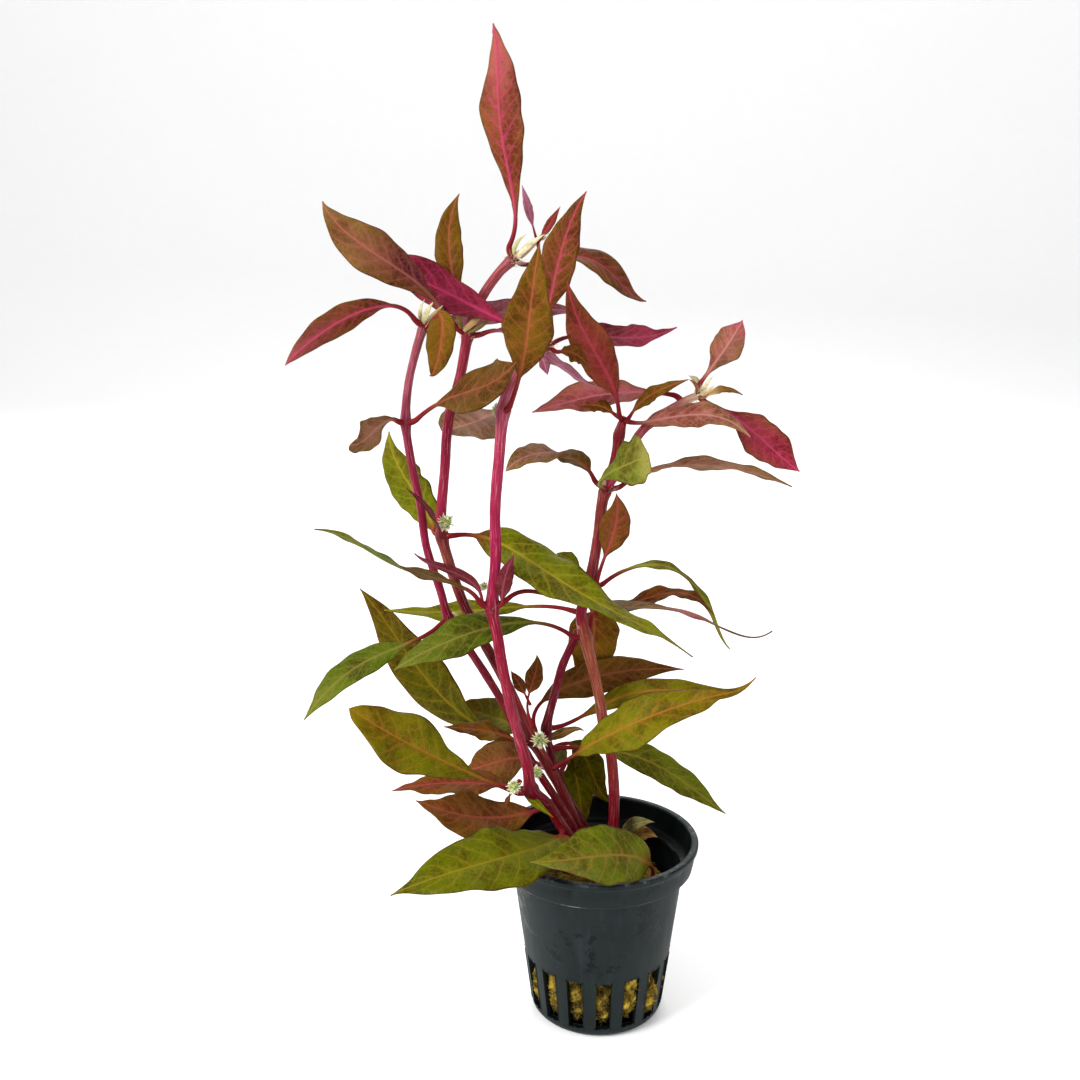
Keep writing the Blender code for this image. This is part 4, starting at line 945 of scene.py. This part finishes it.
def arc(centre, radius, start, end, steps):
    """Points (r, z) of a round corner, angles in degrees."""
    turns = np.radians(np.linspace(start, end, steps + 1))
    return [(centre[0] + radius * math.cos(a), centre[1] + radius * math.sin(a)) for a in turns]


def wall_radius(z):
    """The pot's outer radius on its straight wall, between the foot and the collar."""
    return RADIUS_LOW + (RADIUS_HIGH - RADIUS_LOW) * (z - SLOT_FOOT) / (COLLAR_FOOT - SLOT_FOOT)


def pot_surface(surface, settings):
    """The pot: one closed section turned round the axis, with the cells of the slots left out on
    both faces of the wall and walls laid through the wall round each slot.

    The section runs from the middle of the underside up the outside, over the lip and down the
    inside. Both faces of the wall have the same heights between the slots' ends.
    """
    slot_rows = list(np.linspace(SLOT_FOOT, SLOT_TOP, 13))
    outside = [(0.0, 0.5), (10.0, 0.5), (12.6, 0.45), (13.2, 0.0)]
    outside += arc((14.9, 2.5), 2.5, -90, -8, 7)
    first_outer = len(outside)
    outside += [(wall_radius(z), z) for z in slot_rows]
    last_outer = len(outside) - 1
    outside += [(wall_radius(z), z) for z in np.linspace(18.2, 40.2, 19)]
    outside += [(22.75, 40.6), (24.2, 40.8), (24.52, 41.1), (24.6, 41.5), (24.75, 42.2)]
    outside += [(24.9 + 0.11 * step, 42.9 + 0.75 * step) for step in range(5)]
    outside += [(25.5, 46.3), (25.9, 46.45)]
    outside += arc((25.45, 47.45), 0.55, -20, 90, 6)
    outside += [(25.0, RIM_HEIGHT)]
    inside = arc((24.6, 47.5), 0.5, 90, 180, 4)
    inside += [(24.05, 46.2), (23.75, 44.0), (23.5, 42.2), (23.3, 41.6), (22.9, 41.35), (21.4, 41.2)]
    inside += [(wall_radius(z) - WALL, z) for z in np.linspace(40.6, 18.2, 14)]
    first_inner = len(outside) + len(inside)
    inside += [(wall_radius(z) - WALL, z) for z in slot_rows[::-1]]
    last_inner = len(outside) + len(inside) - 1
    inside += arc((14.6, 3.2), 1.6, 0, -90, 4) + [(10.0, 1.6), (0.0, 1.6)]
    section = np.array(outside + inside)
    columns = settings.columns
    pitch = columns // SLOTS
    gap = pitch * 9 // 16
    turn = FIRST_SLOT + (np.arange(columns) - gap / 2) / columns * math.tau
    r, z = section[1:-1, 0][:, None], section[1:-1, 1][:, None]
    wobble = 0.06 * np.sin(2 * turn + 1.0) * smooth_step(10, RIM_HEIGHT, z)
    rings = np.stack(np.broadcast_arrays((r + wobble) * np.cos(turn), (r + wobble) * np.sin(turn), z),
                     axis=-1)
    rows = len(rings)
    base = np.arange(rows * columns).reshape(rows, columns)
    turned = np.roll(base, -1, axis=1)
    quads = np.stack([base[:-1], turned[:-1], turned[1:], base[1:]], axis=-1)
    keep = np.ones((rows - 1, columns), bool)
    slot = np.arange(columns) % pitch < gap
    outer_rows = np.arange(first_outer, last_outer) - 1
    inner_rows = np.arange(first_inner, last_inner) - 1
    keep[np.ix_(outer_rows, slot)] = False
    keep[np.ix_(inner_rows, slot)] = False
    walls = []
    outer = base[first_outer - 1:last_outer]
    inner = base[first_inner - 1:last_inner][::-1]
    for number in range(SLOTS):
        left = number * pitch
        right = (left + gap) % columns
        span = (left + np.arange(gap + 1)) % columns
        walls.append(np.stack([outer[:-1, left], outer[1:, left], inner[1:, left], inner[:-1, left]], -1))
        walls.append(np.stack([outer[1:, right], outer[:-1, right], inner[:-1, right], inner[1:, right]], -1))
        walls.append(np.stack([outer[0, span[1:]], outer[0, span[:-1]], inner[0, span[:-1]],
                               inner[0, span[1:]]], -1))
        walls.append(np.stack([outer[-1, span[:-1]], outer[-1, span[1:]], inner[-1, span[1:]],
                               inner[-1, span[:-1]]], -1))
    last = rows * columns
    ends = np.vstack([np.stack([np.full(columns, last), turned[0], base[0]], axis=-1),
                      np.stack([np.full(columns, last + 1), base[-1], turned[-1]], axis=-1)])
    points = np.vstack([rings.reshape(-1, 3), [[0, 0, 0.5], [0, 0, 1.6]]])
    # The share of painted shade on the wall's inside below the lip, which the material reads as inner.
    inside_shade = np.zeros((len(points), 3))
    below_lip = (len(outside) + 3) * columns
    inside_shade[below_lip:, 0] = 0.94
    surface.add(points, np.vstack([quads[keep], *walls]), ends, {"inner": inside_shade})


def wool_in_slots(turn, z):
    """How far rock wool fills the slots at these places, 0 where there is none and 1 or more where
    it swells out: in each slot one clump of its own height and size, a flat-topped bell curve in
    height, which leaves a gap at the slot's foot."""
    rng = np.random.default_rng(WOOL_SEED)
    place = (turn - FIRST_SLOT) / math.tau * SLOTS
    number = np.round(place).astype(int) % SLOTS
    aside = np.abs(place - np.round(place))
    middle = rng.uniform(8.2, 12.5, SLOTS)[number]
    tall = rng.uniform(3.8, 6.0, SLOTS)[number]
    full = np.array(SLOT_FILL)[number]
    return full * (1 - smooth_step(0.12, 0.42, aside)) * np.exp(-((z - middle) / tall) ** 4)


def medium_surface(surface, settings):
    """The rock wool: a lumpy block that fills the pot's foot, swells out into the slots in clumps,
    draws back at the slots' feet and is rough and a little lower on its top."""
    foot, top = 2.1, 36.2
    rows, columns = 120, 320
    level = np.linspace(0, 1, rows)[:, None]
    turn = (np.arange(columns) / columns * math.tau)[None, :]
    side = smooth_step(0.12, 0.3, level) * (1 - smooth_step(0.72, 0.86, level))
    z = foot + (top - foot) * smooth_step(0.1, 0.9, level) + 0 * turn
    inner = np.minimum(wall_radius(z) - WALL, 18.6) - 0.9
    ragged = z + 0.7 * np.sin(7 * turn) + 0.5 * np.sin(12 * turn + 1)
    inner = inner - 2.2 * (1 - smooth_step(3.6, 6.2, ragged))
    r = inner * np.sin(np.clip(level / 0.2, 0, 1) * math.pi / 2)
    r = r * np.cos(np.clip((level - 0.8) / 0.2, 0, 1) * math.pi / 2)
    clump = wool_in_slots(turn + 0 * z, z)
    lumps = ripple(turn * 17 + z * 0.5, 5, 5) + ripple(z * 1.1 - turn * 13, 6, 5)
    fine = ripple(turn * 60 + z * 1.5 + 2 * lumps, 15, 4) * ripple(z * 4 - turn * 30, 16, 4)
    r = r + side * (lumps * 0.6 + fine * 0.3 + clump * settings.bulge)
    r = np.maximum(r, 0.05)
    x, y = r * np.cos(turn), r * np.sin(turn)
    crown = smooth_step(0.75, 1.0, level)
    z = z + crown * (0.8 * ripple(x * 0.7 + y * 0.3, 8, 5) + 0.7 * ripple(y * 0.9 - x * 0.2, 9, 5)
                     + 0.25 * ripple(x * 3.1 - y * 2.3, 10, 4) - 0.2)
    rings = np.stack([x, y, z], axis=-1)
    # Painted light and shade: the wool is paler where it swells into the slots, on its lumps and on its top,
    # and darker in its hollows.
    deep, pale = np.array(tone(48, 34, 4)), np.array(tone(206, 172, 50))
    light = np.clip(0.2 + 0.42 * clump + 0.38 * lumps + 0.3 * fine + 0.3 * crown, 0.0, 1.0)[:, :, None]
    surface.tube(rings, np.array([0, 0, foot]), np.array([0, 0, rings[-1, :, 2].mean()]),
                 base_tint=deep + (pale - deep) * light)


def fibre_surface(surface, settings):
    """Rock wool fibres: thin curled strands laid over the block, thickest in the slots, on its top
    and in tufts that push out of the slots."""
    rng = np.random.default_rng(31)
    count = settings.fibres
    on_side = rng.uniform(0, 1, count) < 0.7
    slot = rng.integers(0, SLOTS, count)
    swirl = rng.uniform(0, math.tau, SLOTS)[slot]
    at_slot = FIRST_SLOT + slot / SLOTS * math.tau + rng.normal(0, 0.042, count)
    turn = np.where(on_side, at_slot, rng.uniform(0, math.tau, count))
    z = np.where(on_side, rng.uniform(4.6, 16.4, count), rng.uniform(35.4, 37.0, count))
    bulge = settings.bulge * wool_in_slots(turn, z)
    r = np.where(on_side, wall_radius(z) - 1.95 + bulge + rng.uniform(-0.2, 0.25, count),
                 16.5 * np.sqrt(rng.uniform(0, 1, count)))
    centre = np.stack([r * np.cos(turn), r * np.sin(turn), z], axis=-1)
    out = np.stack([np.cos(turn), np.sin(turn), 0 * turn], axis=-1)
    round_pot = np.stack([-np.sin(turn), np.cos(turn), 0 * turn], axis=-1)
    out = np.where(on_side[:, None], out, [0.0, 0.0, 1.0])
    lean = swirl + z * 0.35 + rng.normal(0, 0.5, count)
    first = np.cos(lean)[:, None] * round_pot + np.sin(lean)[:, None] * [0.0, 0.0, 1.0]
    first = np.where(on_side[:, None], first, unit(rng.normal(size=(count, 3))))
    first = unit(first - out * (first * out).sum(axis=1)[:, None] * 0.85)
    second = unit(np.cross(out, first))
    share = np.linspace(-1, 1, 7)[None, :, None]
    length = rng.uniform(0.5, 1.9, count)[:, None, None]
    curl = rng.uniform(-0.8, 0.8, count)[:, None, None]
    rise = (rng.uniform(-0.5, 0.12, count) + 0.9 * (rng.uniform(0, 1, count) > 0.985))[:, None, None]
    wave = rng.uniform(0, 7, count)[:, None, None]
    paths = centre[:, None] + length * share * first[:, None]
    paths = paths + length * curl * share ** 2 * second[:, None]
    paths = paths + out[:, None] * length * (rise * share ** 2 + 0.1 * np.sin(share * 5 + wave))
    widths = rng.uniform(0.05, 0.13, (count, 1)) * (1.02 - np.abs(share[0, :, 0]) ** 3)[None]
    colours = np.array([tone(168, 138, 32), tone(206, 180, 72), tone(126, 98, 18), tone(160, 134, 26),
                        tone(96, 72, 12)])
    tint = colours[rng.integers(0, 5, count)] * rng.uniform(0.75, 1.2, (count, 1))
    # Painted shade: fibres are darker where a slot holds little wool and they lie deep in it.
    full = np.where(on_side, wool_in_slots(turn, z), 0.6)
    tint = tint * (0.4 + 0.6 * np.clip(full, 0, 1))[:, None]
    surface.strands(paths, widths, 0.8, out[:, None] + 0.01, 4, base_tint=tint[:, None])


def flower_surface(surface, centre, radius, seed, settings):
    """A flower head: a core ball set all round with pointed scales that curve outward."""
    rng = np.random.default_rng(seed)
    count = settings.scales
    index = np.arange(count) + 0.5
    lean = np.arccos(1 - 2 * index / count)
    turn = index * math.pi * (1 + 5 ** 0.5)
    out = np.stack([np.sin(lean) * np.cos(turn), np.sin(lean) * np.sin(turn), np.cos(lean)], axis=-1)
    out = unit(out + rng.normal(0, 0.08, (count, 3)))
    bend = np.cross(out, rng.normal(size=(count, 3)))
    share = np.linspace(0, 1, 7)[None, :, None]
    reach = radius * rng.uniform(0.85, 1.25, (count, 1, 1))
    paths = np.array(centre) + out[:, None] * reach * (0.25 + 0.75 * share)
    paths = paths + bend[:, None] * 0.3 * share ** 2 * radius * rng.uniform(0.2, 0.8, (count, 1, 1))
    swell = np.sin(np.pi * np.clip(share[0, :, 0] * 0.93 + 0.06, 0, 1)) ** 0.8
    widths = np.broadcast_to(0.17 * radius * swell, (count, 7))
    pale = np.array(tone(238, 240, 204, gain=0.85))
    green = np.array(tone(164, 184, 70, gain=0.7))
    tint = green + (pale - green) * smooth_step(0.25, 0.75, share)
    tint = np.broadcast_to(tint, (count, 7, 3)) * rng.uniform(0.85, 1.05, (count, 1, 1))
    surface.strands(paths, widths, 0.35, np.array([0.3, 0.2, 0.93]) + 0 * paths, 6, base_tint=tint)
    level = np.linspace(0.04, 0.96, 14)[:, None] * math.pi
    around = np.arange(16)[None, :] / 16 * math.tau
    ball = np.stack(np.broadcast_arrays(np.sin(level) * np.cos(around), np.sin(level) * np.sin(around),
                                        -np.cos(level)), axis=-1) * radius * 0.6 + np.array(centre)
    surface.tube(ball, np.array(centre) - [0, 0, radius * 0.6], np.array(centre) + [0, 0, radius * 0.6],
                 base_tint=green)


def hair_surface(surface, centre, along, reach, count, length, seed, colour):
    """Fine pale hairs that stand round a node."""
    rng = np.random.default_rng(seed)
    out = unit(np.cross(unit(rng.normal(size=(count, 3))), along))
    start = centre + out * reach * 0.8 + along * rng.normal(0, 0.7, (count, 1))
    share = np.linspace(0, 1, 5)[None, :, None]
    size = length * rng.uniform(0.5, 1.2, (count, 1, 1))
    lean = along * rng.uniform(0.2, 1.2, (count, 1))
    paths = start[:, None] + out[:, None] * size * share + lean[:, None] * size * share ** 2
    widths = np.broadcast_to(0.07 * (1.05 - share[0, :, 0]), (count, 5))
    tint = np.array(tone(*colour, gain=0.75)) * rng.uniform(0.8, 1.05, (count, 1, 1))
    surface.strands(paths, widths, 1.0, np.array([0.2, -0.9, 0.4]) + 0 * paths, 3,
                    base_tint=np.broadcast_to(tint, (count, 5, 3)))


def scale_surface(surface, points, width, colour, seed, face=(0.1, -0.9, 0.4)):
    """A papery bud scale: a pointed, cupped strand through these points."""
    share = np.linspace(0, 1, 12)
    path = smooth_run(np.array(points, float), share)
    swell = np.sin(np.pi * (0.12 + 0.88 * share) ** 0.8) ** 0.9 + 0.04
    tint = np.array(tone(*colour, gain=0.7)) * (1 + 0.1 * ripple(share * 9, seed))[:, None]
    surface.strands(path[None], (width / 2 * swell)[None], 0.3, np.array(face) + 0 * path[None], 10,
                    base_tint=tint[None])


# Hairs round nodes: stem, number of the point, how many, how long and their colour.
NODE_HAIRS = [
    ("stem_left", 15, 46, 1.9, (226, 210, 170)),
    ("stem_left", 12, 16, 1.0, (206, 150, 140)),
    ("stem_tall", 16, 36, 1.6, (214, 186, 140)),
    ("stem_tall", 19, 40, 1.7, (226, 216, 176)),
    ("stem_tall", 11, 20, 1.1, (210, 190, 140)),
    ("stem_front", 17, 28, 1.3, (214, 196, 140)),
    ("stem_front", 14, 16, 1.0, (206, 160, 140)),
    ("stem_front", 10, 24, 1.2, (204, 150, 140)),
    ("stem_right", 9, 24, 1.2, (206, 160, 130)),
    ("stem_right", 12, 34, 1.4, (226, 206, 170)),
    ("branch_side", 6, 40, 1.7, (230, 218, 180)),
    ("branch_upright", 4, 20, 1.1, (210, 170, 140)),
    ("bud_shoot", 4, 26, 1.5, (230, 220, 186)),
]

# Papery scales and buds at the nodes: points, width, colour.
BUD_SCALES = [
    ([(-42, -7, 180.4), (-41, -8, 183), (-39.4, -8.4, 185.4)], 1.5, (214, 204, 160)),
    ([(-41.5, -6, 180.5), (-39, -6.4, 183), (-37.4, -6.4, 184.6)], 1.2, (186, 172, 116)),
    ([(-42.5, -6, 180.5), (-42.6, -7.4, 183.4), (-41.4, -8, 186)], 1.0, (220, 210, 170)),
    ([(-34.5, 4.6, 178.5), (-34.8, 4, 182), (-34.2, 3.4, 185.5)], 1.3, (128, 104, 44)),
    ([(-34, 5, 178), (-30.6, 4, 180.8), (-28.4, 3.4, 183)], 1.6, (178, 146, 92)),
    ([(-33, 5, 177.5), (-29, 4, 179.6), (-26.4, 3.2, 182)], 1.2, (112, 92, 34)),
    ([(-21.1, 7, 195.1), (-18.6, 6, 197.6), (-14.3, 5, 200.6)], 1.7, (226, 214, 178)),
    ([(-20.3, 7, 195.1), (-16.7, 6.4, 198.8), (-13.4, 6, 201.6)], 1.5, (214, 178, 140)),
    ([(-22, 7.4, 195.4), (-21.4, 7, 198), (-18.8, 6.6, 200.6)], 1.0, (206, 204, 140)),
    ([(0.6, 6.6, 139.5), (0.4, 5.8, 142.4), (1.4, 5.2, 145)], 1.2, (206, 178, 140)),
    ([(18.8, 3.6, 161.3), (22.4, 2.8, 162.8), (26.6, 2, 165.4)], 1.9, (224, 204, 158)),
    ([(23.4, 3, 163.4), (24.4, 2.4, 165.4), (26.2, 2, 167.6)], 1.1, (226, 216, 176)),
    ([(22.8, 3, 163.4), (22, 2.6, 165.6), (20.4, 2.4, 166.8)], 1.0, (140, 84, 50)),
    ([(-3.4, 5, 101.6), (-5.4, 4, 103.4), (-6.2, 3.4, 105)], 0.9, (206, 150, 120)),
    ([(-24.6, -12.4, 149.6), (-23.4, -13, 152.6), (-22.8, -13.4, 155.4)], 1.3, (214, 110, 120)),
]


def look_for(kind):
    """The material of this name, made the first time it is asked for."""
    if kind not in bpy.data.materials:
        settings = bpy.context.scene.plant_leaves
        makers = {
            "leaf_skin": lambda: leaf_material(settings),
            "stem_skin": stem_material,
            "charcoal_plastic": pot_material,
            "rock_wool_fibre": lambda: tinted_material("rock_wool_fibre", 0.85, 0.0, 500.0),
            "flower_scale": lambda: tinted_material("flower_scale", 0.6, 0.2),
            "papery_scale": lambda: tinted_material("papery_scale", 0.5, 0.2),
        }
        makers[kind]()
    return bpy.data.materials[kind]


class PlantLeafSettings(bpy.types.PropertyGroup):
    """What a user would change on the leaves"""
    rows: IntProperty(name="Rows", description="Rows of faces along a leaf", default=64, min=20)
    columns: IntProperty(name="Columns", description="Points across one side of a leaf", default=25, min=9)
    thickness: FloatProperty(name="Thickness", description="Thickness of a blade in millimetres",
                             default=0.3, min=0.1)
    fold: FloatProperty(name="Fold", description="How far every leaf folds, as a share of its own fold",
                        default=1.0, subtype="FACTOR")
    waves: FloatProperty(name="Waves", description="Height of the margins' waves, as a share",
                         default=1.0, subtype="FACTOR")
    quilting: FloatProperty(name="Quilting", description="How far the blade rises between side veins, "
                            "in millimetres", default=0.16, min=0.0)
    relief: FloatProperty(name="Vein relief", description="Strength of the fine veins' relief",
                          default=0.6, subtype="FACTOR")


class PlantStemSettings(bpy.types.PropertyGroup):
    """What a user would change on the stems and flower heads"""
    spacing: FloatProperty(name="Spacing", description="Millimetres between two rings of a stem",
                           default=0.6, min=0.2)
    columns: IntProperty(name="Columns", description="Points round a stem", default=28, min=8)
    swelling: FloatProperty(name="Swelling", description="How much thicker a node is, as a share",
                            default=0.3, subtype="FACTOR")
    ribs: FloatProperty(name="Ribs", description="Depth of the lengthwise ribs, as a share of the radius",
                        default=0.012, subtype="FACTOR")
    scales: IntProperty(name="Scales", description="Scales on a flower head", default=64, min=12)


class PlantPotSettings(bpy.types.PropertyGroup):
    """What a user would change on the pot and its rock wool"""
    columns: IntProperty(name="Columns", description="Points round the pot, 16 for each slot", default=256)
    bulge: FloatProperty(name="Bulge", description="Millimetres that the rock wool swells into a slot",
                         default=2.1, min=0.0)
    fibres: IntProperty(name="Fibres", description="Number of rock wool fibres", default=3400, min=0)


class PlantStageSettings(bpy.types.PropertyGroup):
    """What a user would change on the stage"""
    floor_colour: FloatVectorProperty(name="Floor colour", description="Colour of the floor and backdrop",
                                      default=tone(246, 246, 246, gain=1), size=3, subtype="COLOR")
    lens: FloatProperty(name="Lens", description="Focal length of the camera in millimetres",
                        default=41.77, unit="CAMERA")


class PLANT_OT_leaves(bpy.types.Operator):
    """Builds every leaf that the model holds, each in place of its plain solid"""
    bl_idname = "plant.leaves"
    bl_label = "Leaves"

    def execute(self, context):
        settings = context.scene.plant_leaves
        material = look_for("leaf_skin")
        for seed, (name, facts) in enumerate(LEAVES.items()):
            surface = Surface()
            leaf_surface(surface, facts, 100 + 7 * seed, settings)
            surface.make(name.replace("leaf", "blade"), material, [name])
        return {"FINISHED"}


class PLANT_OT_small_leaves(bpy.types.Operator):
    """Builds the small leaves in the leaf axils"""
    bl_idname = "plant.small_leaves"
    bl_label = "Small leaves"

    def execute(self, context):
        settings = context.scene.plant_leaves
        material = look_for("leaf_skin")
        for seed, (name, facts) in enumerate(SMALL_LEAVES.items()):
            surface = Surface()
            leaf_surface(surface, facts, 900 + 7 * seed, settings)
            surface.make(name.replace("leaf", "blade"), material)
        return {"FINISHED"}


class PLANT_OT_stems(bpy.types.Operator):
    """Builds the stems and branches in place of their plain solids"""
    bl_idname = "plant.stems"
    bl_label = "Stems"

    def execute(self, context):
        settings = context.scene.plant_stems
        for seed, name in enumerate(STEMS):
            surface = Surface()
            stem_surface(surface, name, 300 + seed, settings)
            surface.make("skin_" + name, look_for("stem_skin"), [name])
        return {"FINISHED"}


class PLANT_OT_flower_heads(bpy.types.Operator):
    """Builds the round flower heads"""
    bl_idname = "plant.flower_heads"
    bl_label = "Flower heads"

    def execute(self, context):
        settings = context.scene.plant_stems
        for seed, (name, (centre, radius)) in enumerate(FLOWER_HEADS.items()):
            surface = Surface()
            flower_surface(surface, centre, radius, 500 + seed, settings)
            nodes = [name] if seed < 4 else []
            surface.make(name.replace("head", "scales"), look_for("flower_scale"), nodes)
        return {"FINISHED"}


class PLANT_OT_buds(bpy.types.Operator):
    """Builds the papery bud scales and the fine hairs at the nodes"""
    bl_idname = "plant.buds"
    bl_label = "Buds and hairs"

    def execute(self, context):
        surface = Surface()
        for seed, (stem, number, count, length, colour) in enumerate(NODE_HAIRS):
            points = np.array(STEMS[stem][3], float)
            ahead = unit(points[min(number + 1, len(points) - 1)] - points[number - 1])
            hair_surface(surface, points[number], ahead, stem_radius(stem, number), count, length,
                         700 + seed, colour)
        surface.make("node_hairs", look_for("papery_scale"))
        surface = Surface()
        for seed, (points, width, colour) in enumerate(BUD_SCALES):
            scale_surface(surface, points, width, colour, 760 + seed)
        surface.make("bud_scales", look_for("papery_scale"))
        return {"FINISHED"}


class PLANT_OT_medium(bpy.types.Operator):
    """Builds the rock wool block and its fibres"""
    bl_idname = "plant.medium"
    bl_label = "Rock wool"

    def execute(self, context):
        settings = context.scene.plant_pot
        surface = Surface()
        medium_surface(surface, settings)
        surface.make("rock_wool_block", look_for("rock_wool_fibre"), ["growing_medium"])
        surface = Surface()
        fibre_surface(surface, settings)
        surface.make("rock_wool_fibres", look_for("rock_wool_fibre"))
        return {"FINISHED"}


class PLANT_OT_pot(bpy.types.Operator):
    """Builds the slotted pot in place of its plain solid"""
    bl_idname = "plant.pot"
    bl_label = "Pot"

    def execute(self, context):
        surface = Surface()
        pot_surface(surface, context.scene.plant_pot)
        piece = surface.make("slotted_pot", look_for("charcoal_plastic"), ["pot"])
        bevel = piece.modifiers.new("soft_edges", "BEVEL")
        bevel.width = 0.00022
        bevel.segments = 2
        bevel.limit_method = "ANGLE"
        bevel.angle_limit = math.radians(50)
        return {"FINISHED"}


# Lamps: name, place and aim in metres, size in metres and power in watts.
LAMPS = [
    ("key", (-0.75, -0.55, 0.6), (0, 0, 0.12), 0.45, 14.0),
    ("fill", (0.7, -0.7, 0.6), (0, 0, 0.12), 0.8, 4.0),
    ("back", (0.1, 0.9, 0.9), (0, 0, 0.15), 0.7, 7.0),
]
SKY_STRENGTH = 0.78
# The camera's place in metres, and how far it tilts up from straight down and turns left, in
# degrees, as fitted to the pot's rim, collar and base in the photo.
CAMERA_PLACE = (0.0, -0.3, 0.2)
CAMERA_TILT = 76.4
CAMERA_TURN = 2.9


class PLANT_OT_stage(bpy.types.Operator):
    """Builds the pale floor and backdrop, the lights and the camera"""
    bl_idname = "plant.stage"
    bl_label = "Stage"

    def execute(self, context):
        scene = context.scene
        settings = scene.plant_stage
        bend = [(1.2 + 0.6 * math.sin(a), 0.6 - 0.6 * math.cos(a)) for a in np.linspace(0, math.pi / 2, 24)]
        path = np.array([(-2.5, 0.0), (0.0, 0.0), *bend, (1.8, 3.2)])
        across = np.array([-4.0, 0.0, 4.0])
        points = np.stack(np.broadcast_arrays(across[None, :], path[:, :1], path[:, 1:]), axis=-1)
        base = np.arange(len(path) * 3).reshape(-1, 3)
        quads = np.stack([base[:-1, :-1], base[:-1, 1:], base[1:, 1:], base[1:, :-1]], axis=-1)
        mesh = bpy.data.meshes.new("floor")
        mesh.from_pydata(points.reshape(-1, 3).tolist(), [], quads.reshape(-1, 4).tolist())
        mesh.polygons.foreach_set("use_smooth", np.ones(len(mesh.polygons), bool))
        floor = bpy.data.objects.new("floor", mesh)
        scene.collection.objects.link(floor)
        tree = Tree("pale_floor")
        colour = (*settings.floor_colour, 1.0)
        grain = tree.noise(60.0, None, 2.0)
        mesh.materials.append(tree.finish(tree.mix(tree.ramp(grain, 0.3, 0.7, 0.0, 0.03), colour,
                                                   (0.7, 0.7, 0.7, 1.0)), 0.7))
        world = bpy.data.worlds.new("soft_studio")
        scene.world = world
        world.use_nodes = True
        sky = world.node_tree.nodes["Background"].inputs
        sky[0].default_value = (1.0, 1.0, 1.0, 1.0)
        sky[1].default_value = SKY_STRENGTH
        for name, place, aim, size, power in LAMPS:
            lamp = bpy.data.lights.new(name, "AREA")
            lamp.energy = power
            lamp.size = size
            light = bpy.data.objects.new(name, lamp)
            scene.collection.objects.link(light)
            light.location = place
            way = np.array(aim) - np.array(place)
            light.rotation_euler = (math.atan2(math.hypot(way[0], way[1]), -way[2]), 0.0,
                                    math.atan2(-way[0], way[1]))
        lens = bpy.data.cameras.new("camera")
        lens.lens = settings.lens
        lens.sensor_width = 36.0
        lens.clip_start = 0.01
        camera = bpy.data.objects.new("camera", lens)
        scene.collection.objects.link(camera)
        camera.location = CAMERA_PLACE
        camera.rotation_euler = (math.radians(CAMERA_TILT), 0.0, math.radians(CAMERA_TURN))
        scene.camera = camera
        scene.view_settings.view_transform = "Standard"
        return {"FINISHED"}


class PLANT_PT_panel(bpy.types.Panel):
    """The plant's settings and the buttons that build it"""
    bl_idname = "PLANT_PT_panel"
    bl_label = "Alternanthera"
    bl_space_type = "VIEW_3D"
    bl_region_type = "UI"
    bl_category = "Plant"

    def draw(self, context):
        for group in SETTINGS:
            box = self.layout.box()
            for field in SETTINGS[group].__annotations__:
                box.prop(getattr(context.scene, group), field)
        for operator in OPERATORS:
            self.layout.operator(operator.bl_idname)


SETTINGS = {"plant_leaves": PlantLeafSettings, "plant_stems": PlantStemSettings,
            "plant_pot": PlantPotSettings, "plant_stage": PlantStageSettings}
OPERATORS = [PLANT_OT_leaves, PLANT_OT_small_leaves, PLANT_OT_stems, PLANT_OT_flower_heads,
             PLANT_OT_buds, PLANT_OT_medium, PLANT_OT_pot, PLANT_OT_stage]


def register():
    """Gives Blender the settings, the operators and the panel."""
    for group, kind in SETTINGS.items():
        bpy.utils.register_class(kind)
        setattr(bpy.types.Scene, group, PointerProperty(type=kind))
    for kind in OPERATORS:
        bpy.utils.register_class(kind)
    bpy.utils.register_class(PLANT_PT_panel)


def unregister():
    """Takes back what register gave."""
    bpy.utils.unregister_class(PLANT_PT_panel)
    for kind in reversed(OPERATORS):
        bpy.utils.unregister_class(kind)
    for group, kind in SETTINGS.items():
        delattr(bpy.types.Scene, group)
        bpy.utils.unregister_class(kind)


def main():
    register()
    for operator in OPERATORS:
        family, name = operator.bl_idname.split(".")
        getattr(getattr(bpy.ops, family), name)()


if __name__ == "__main__":
    main()
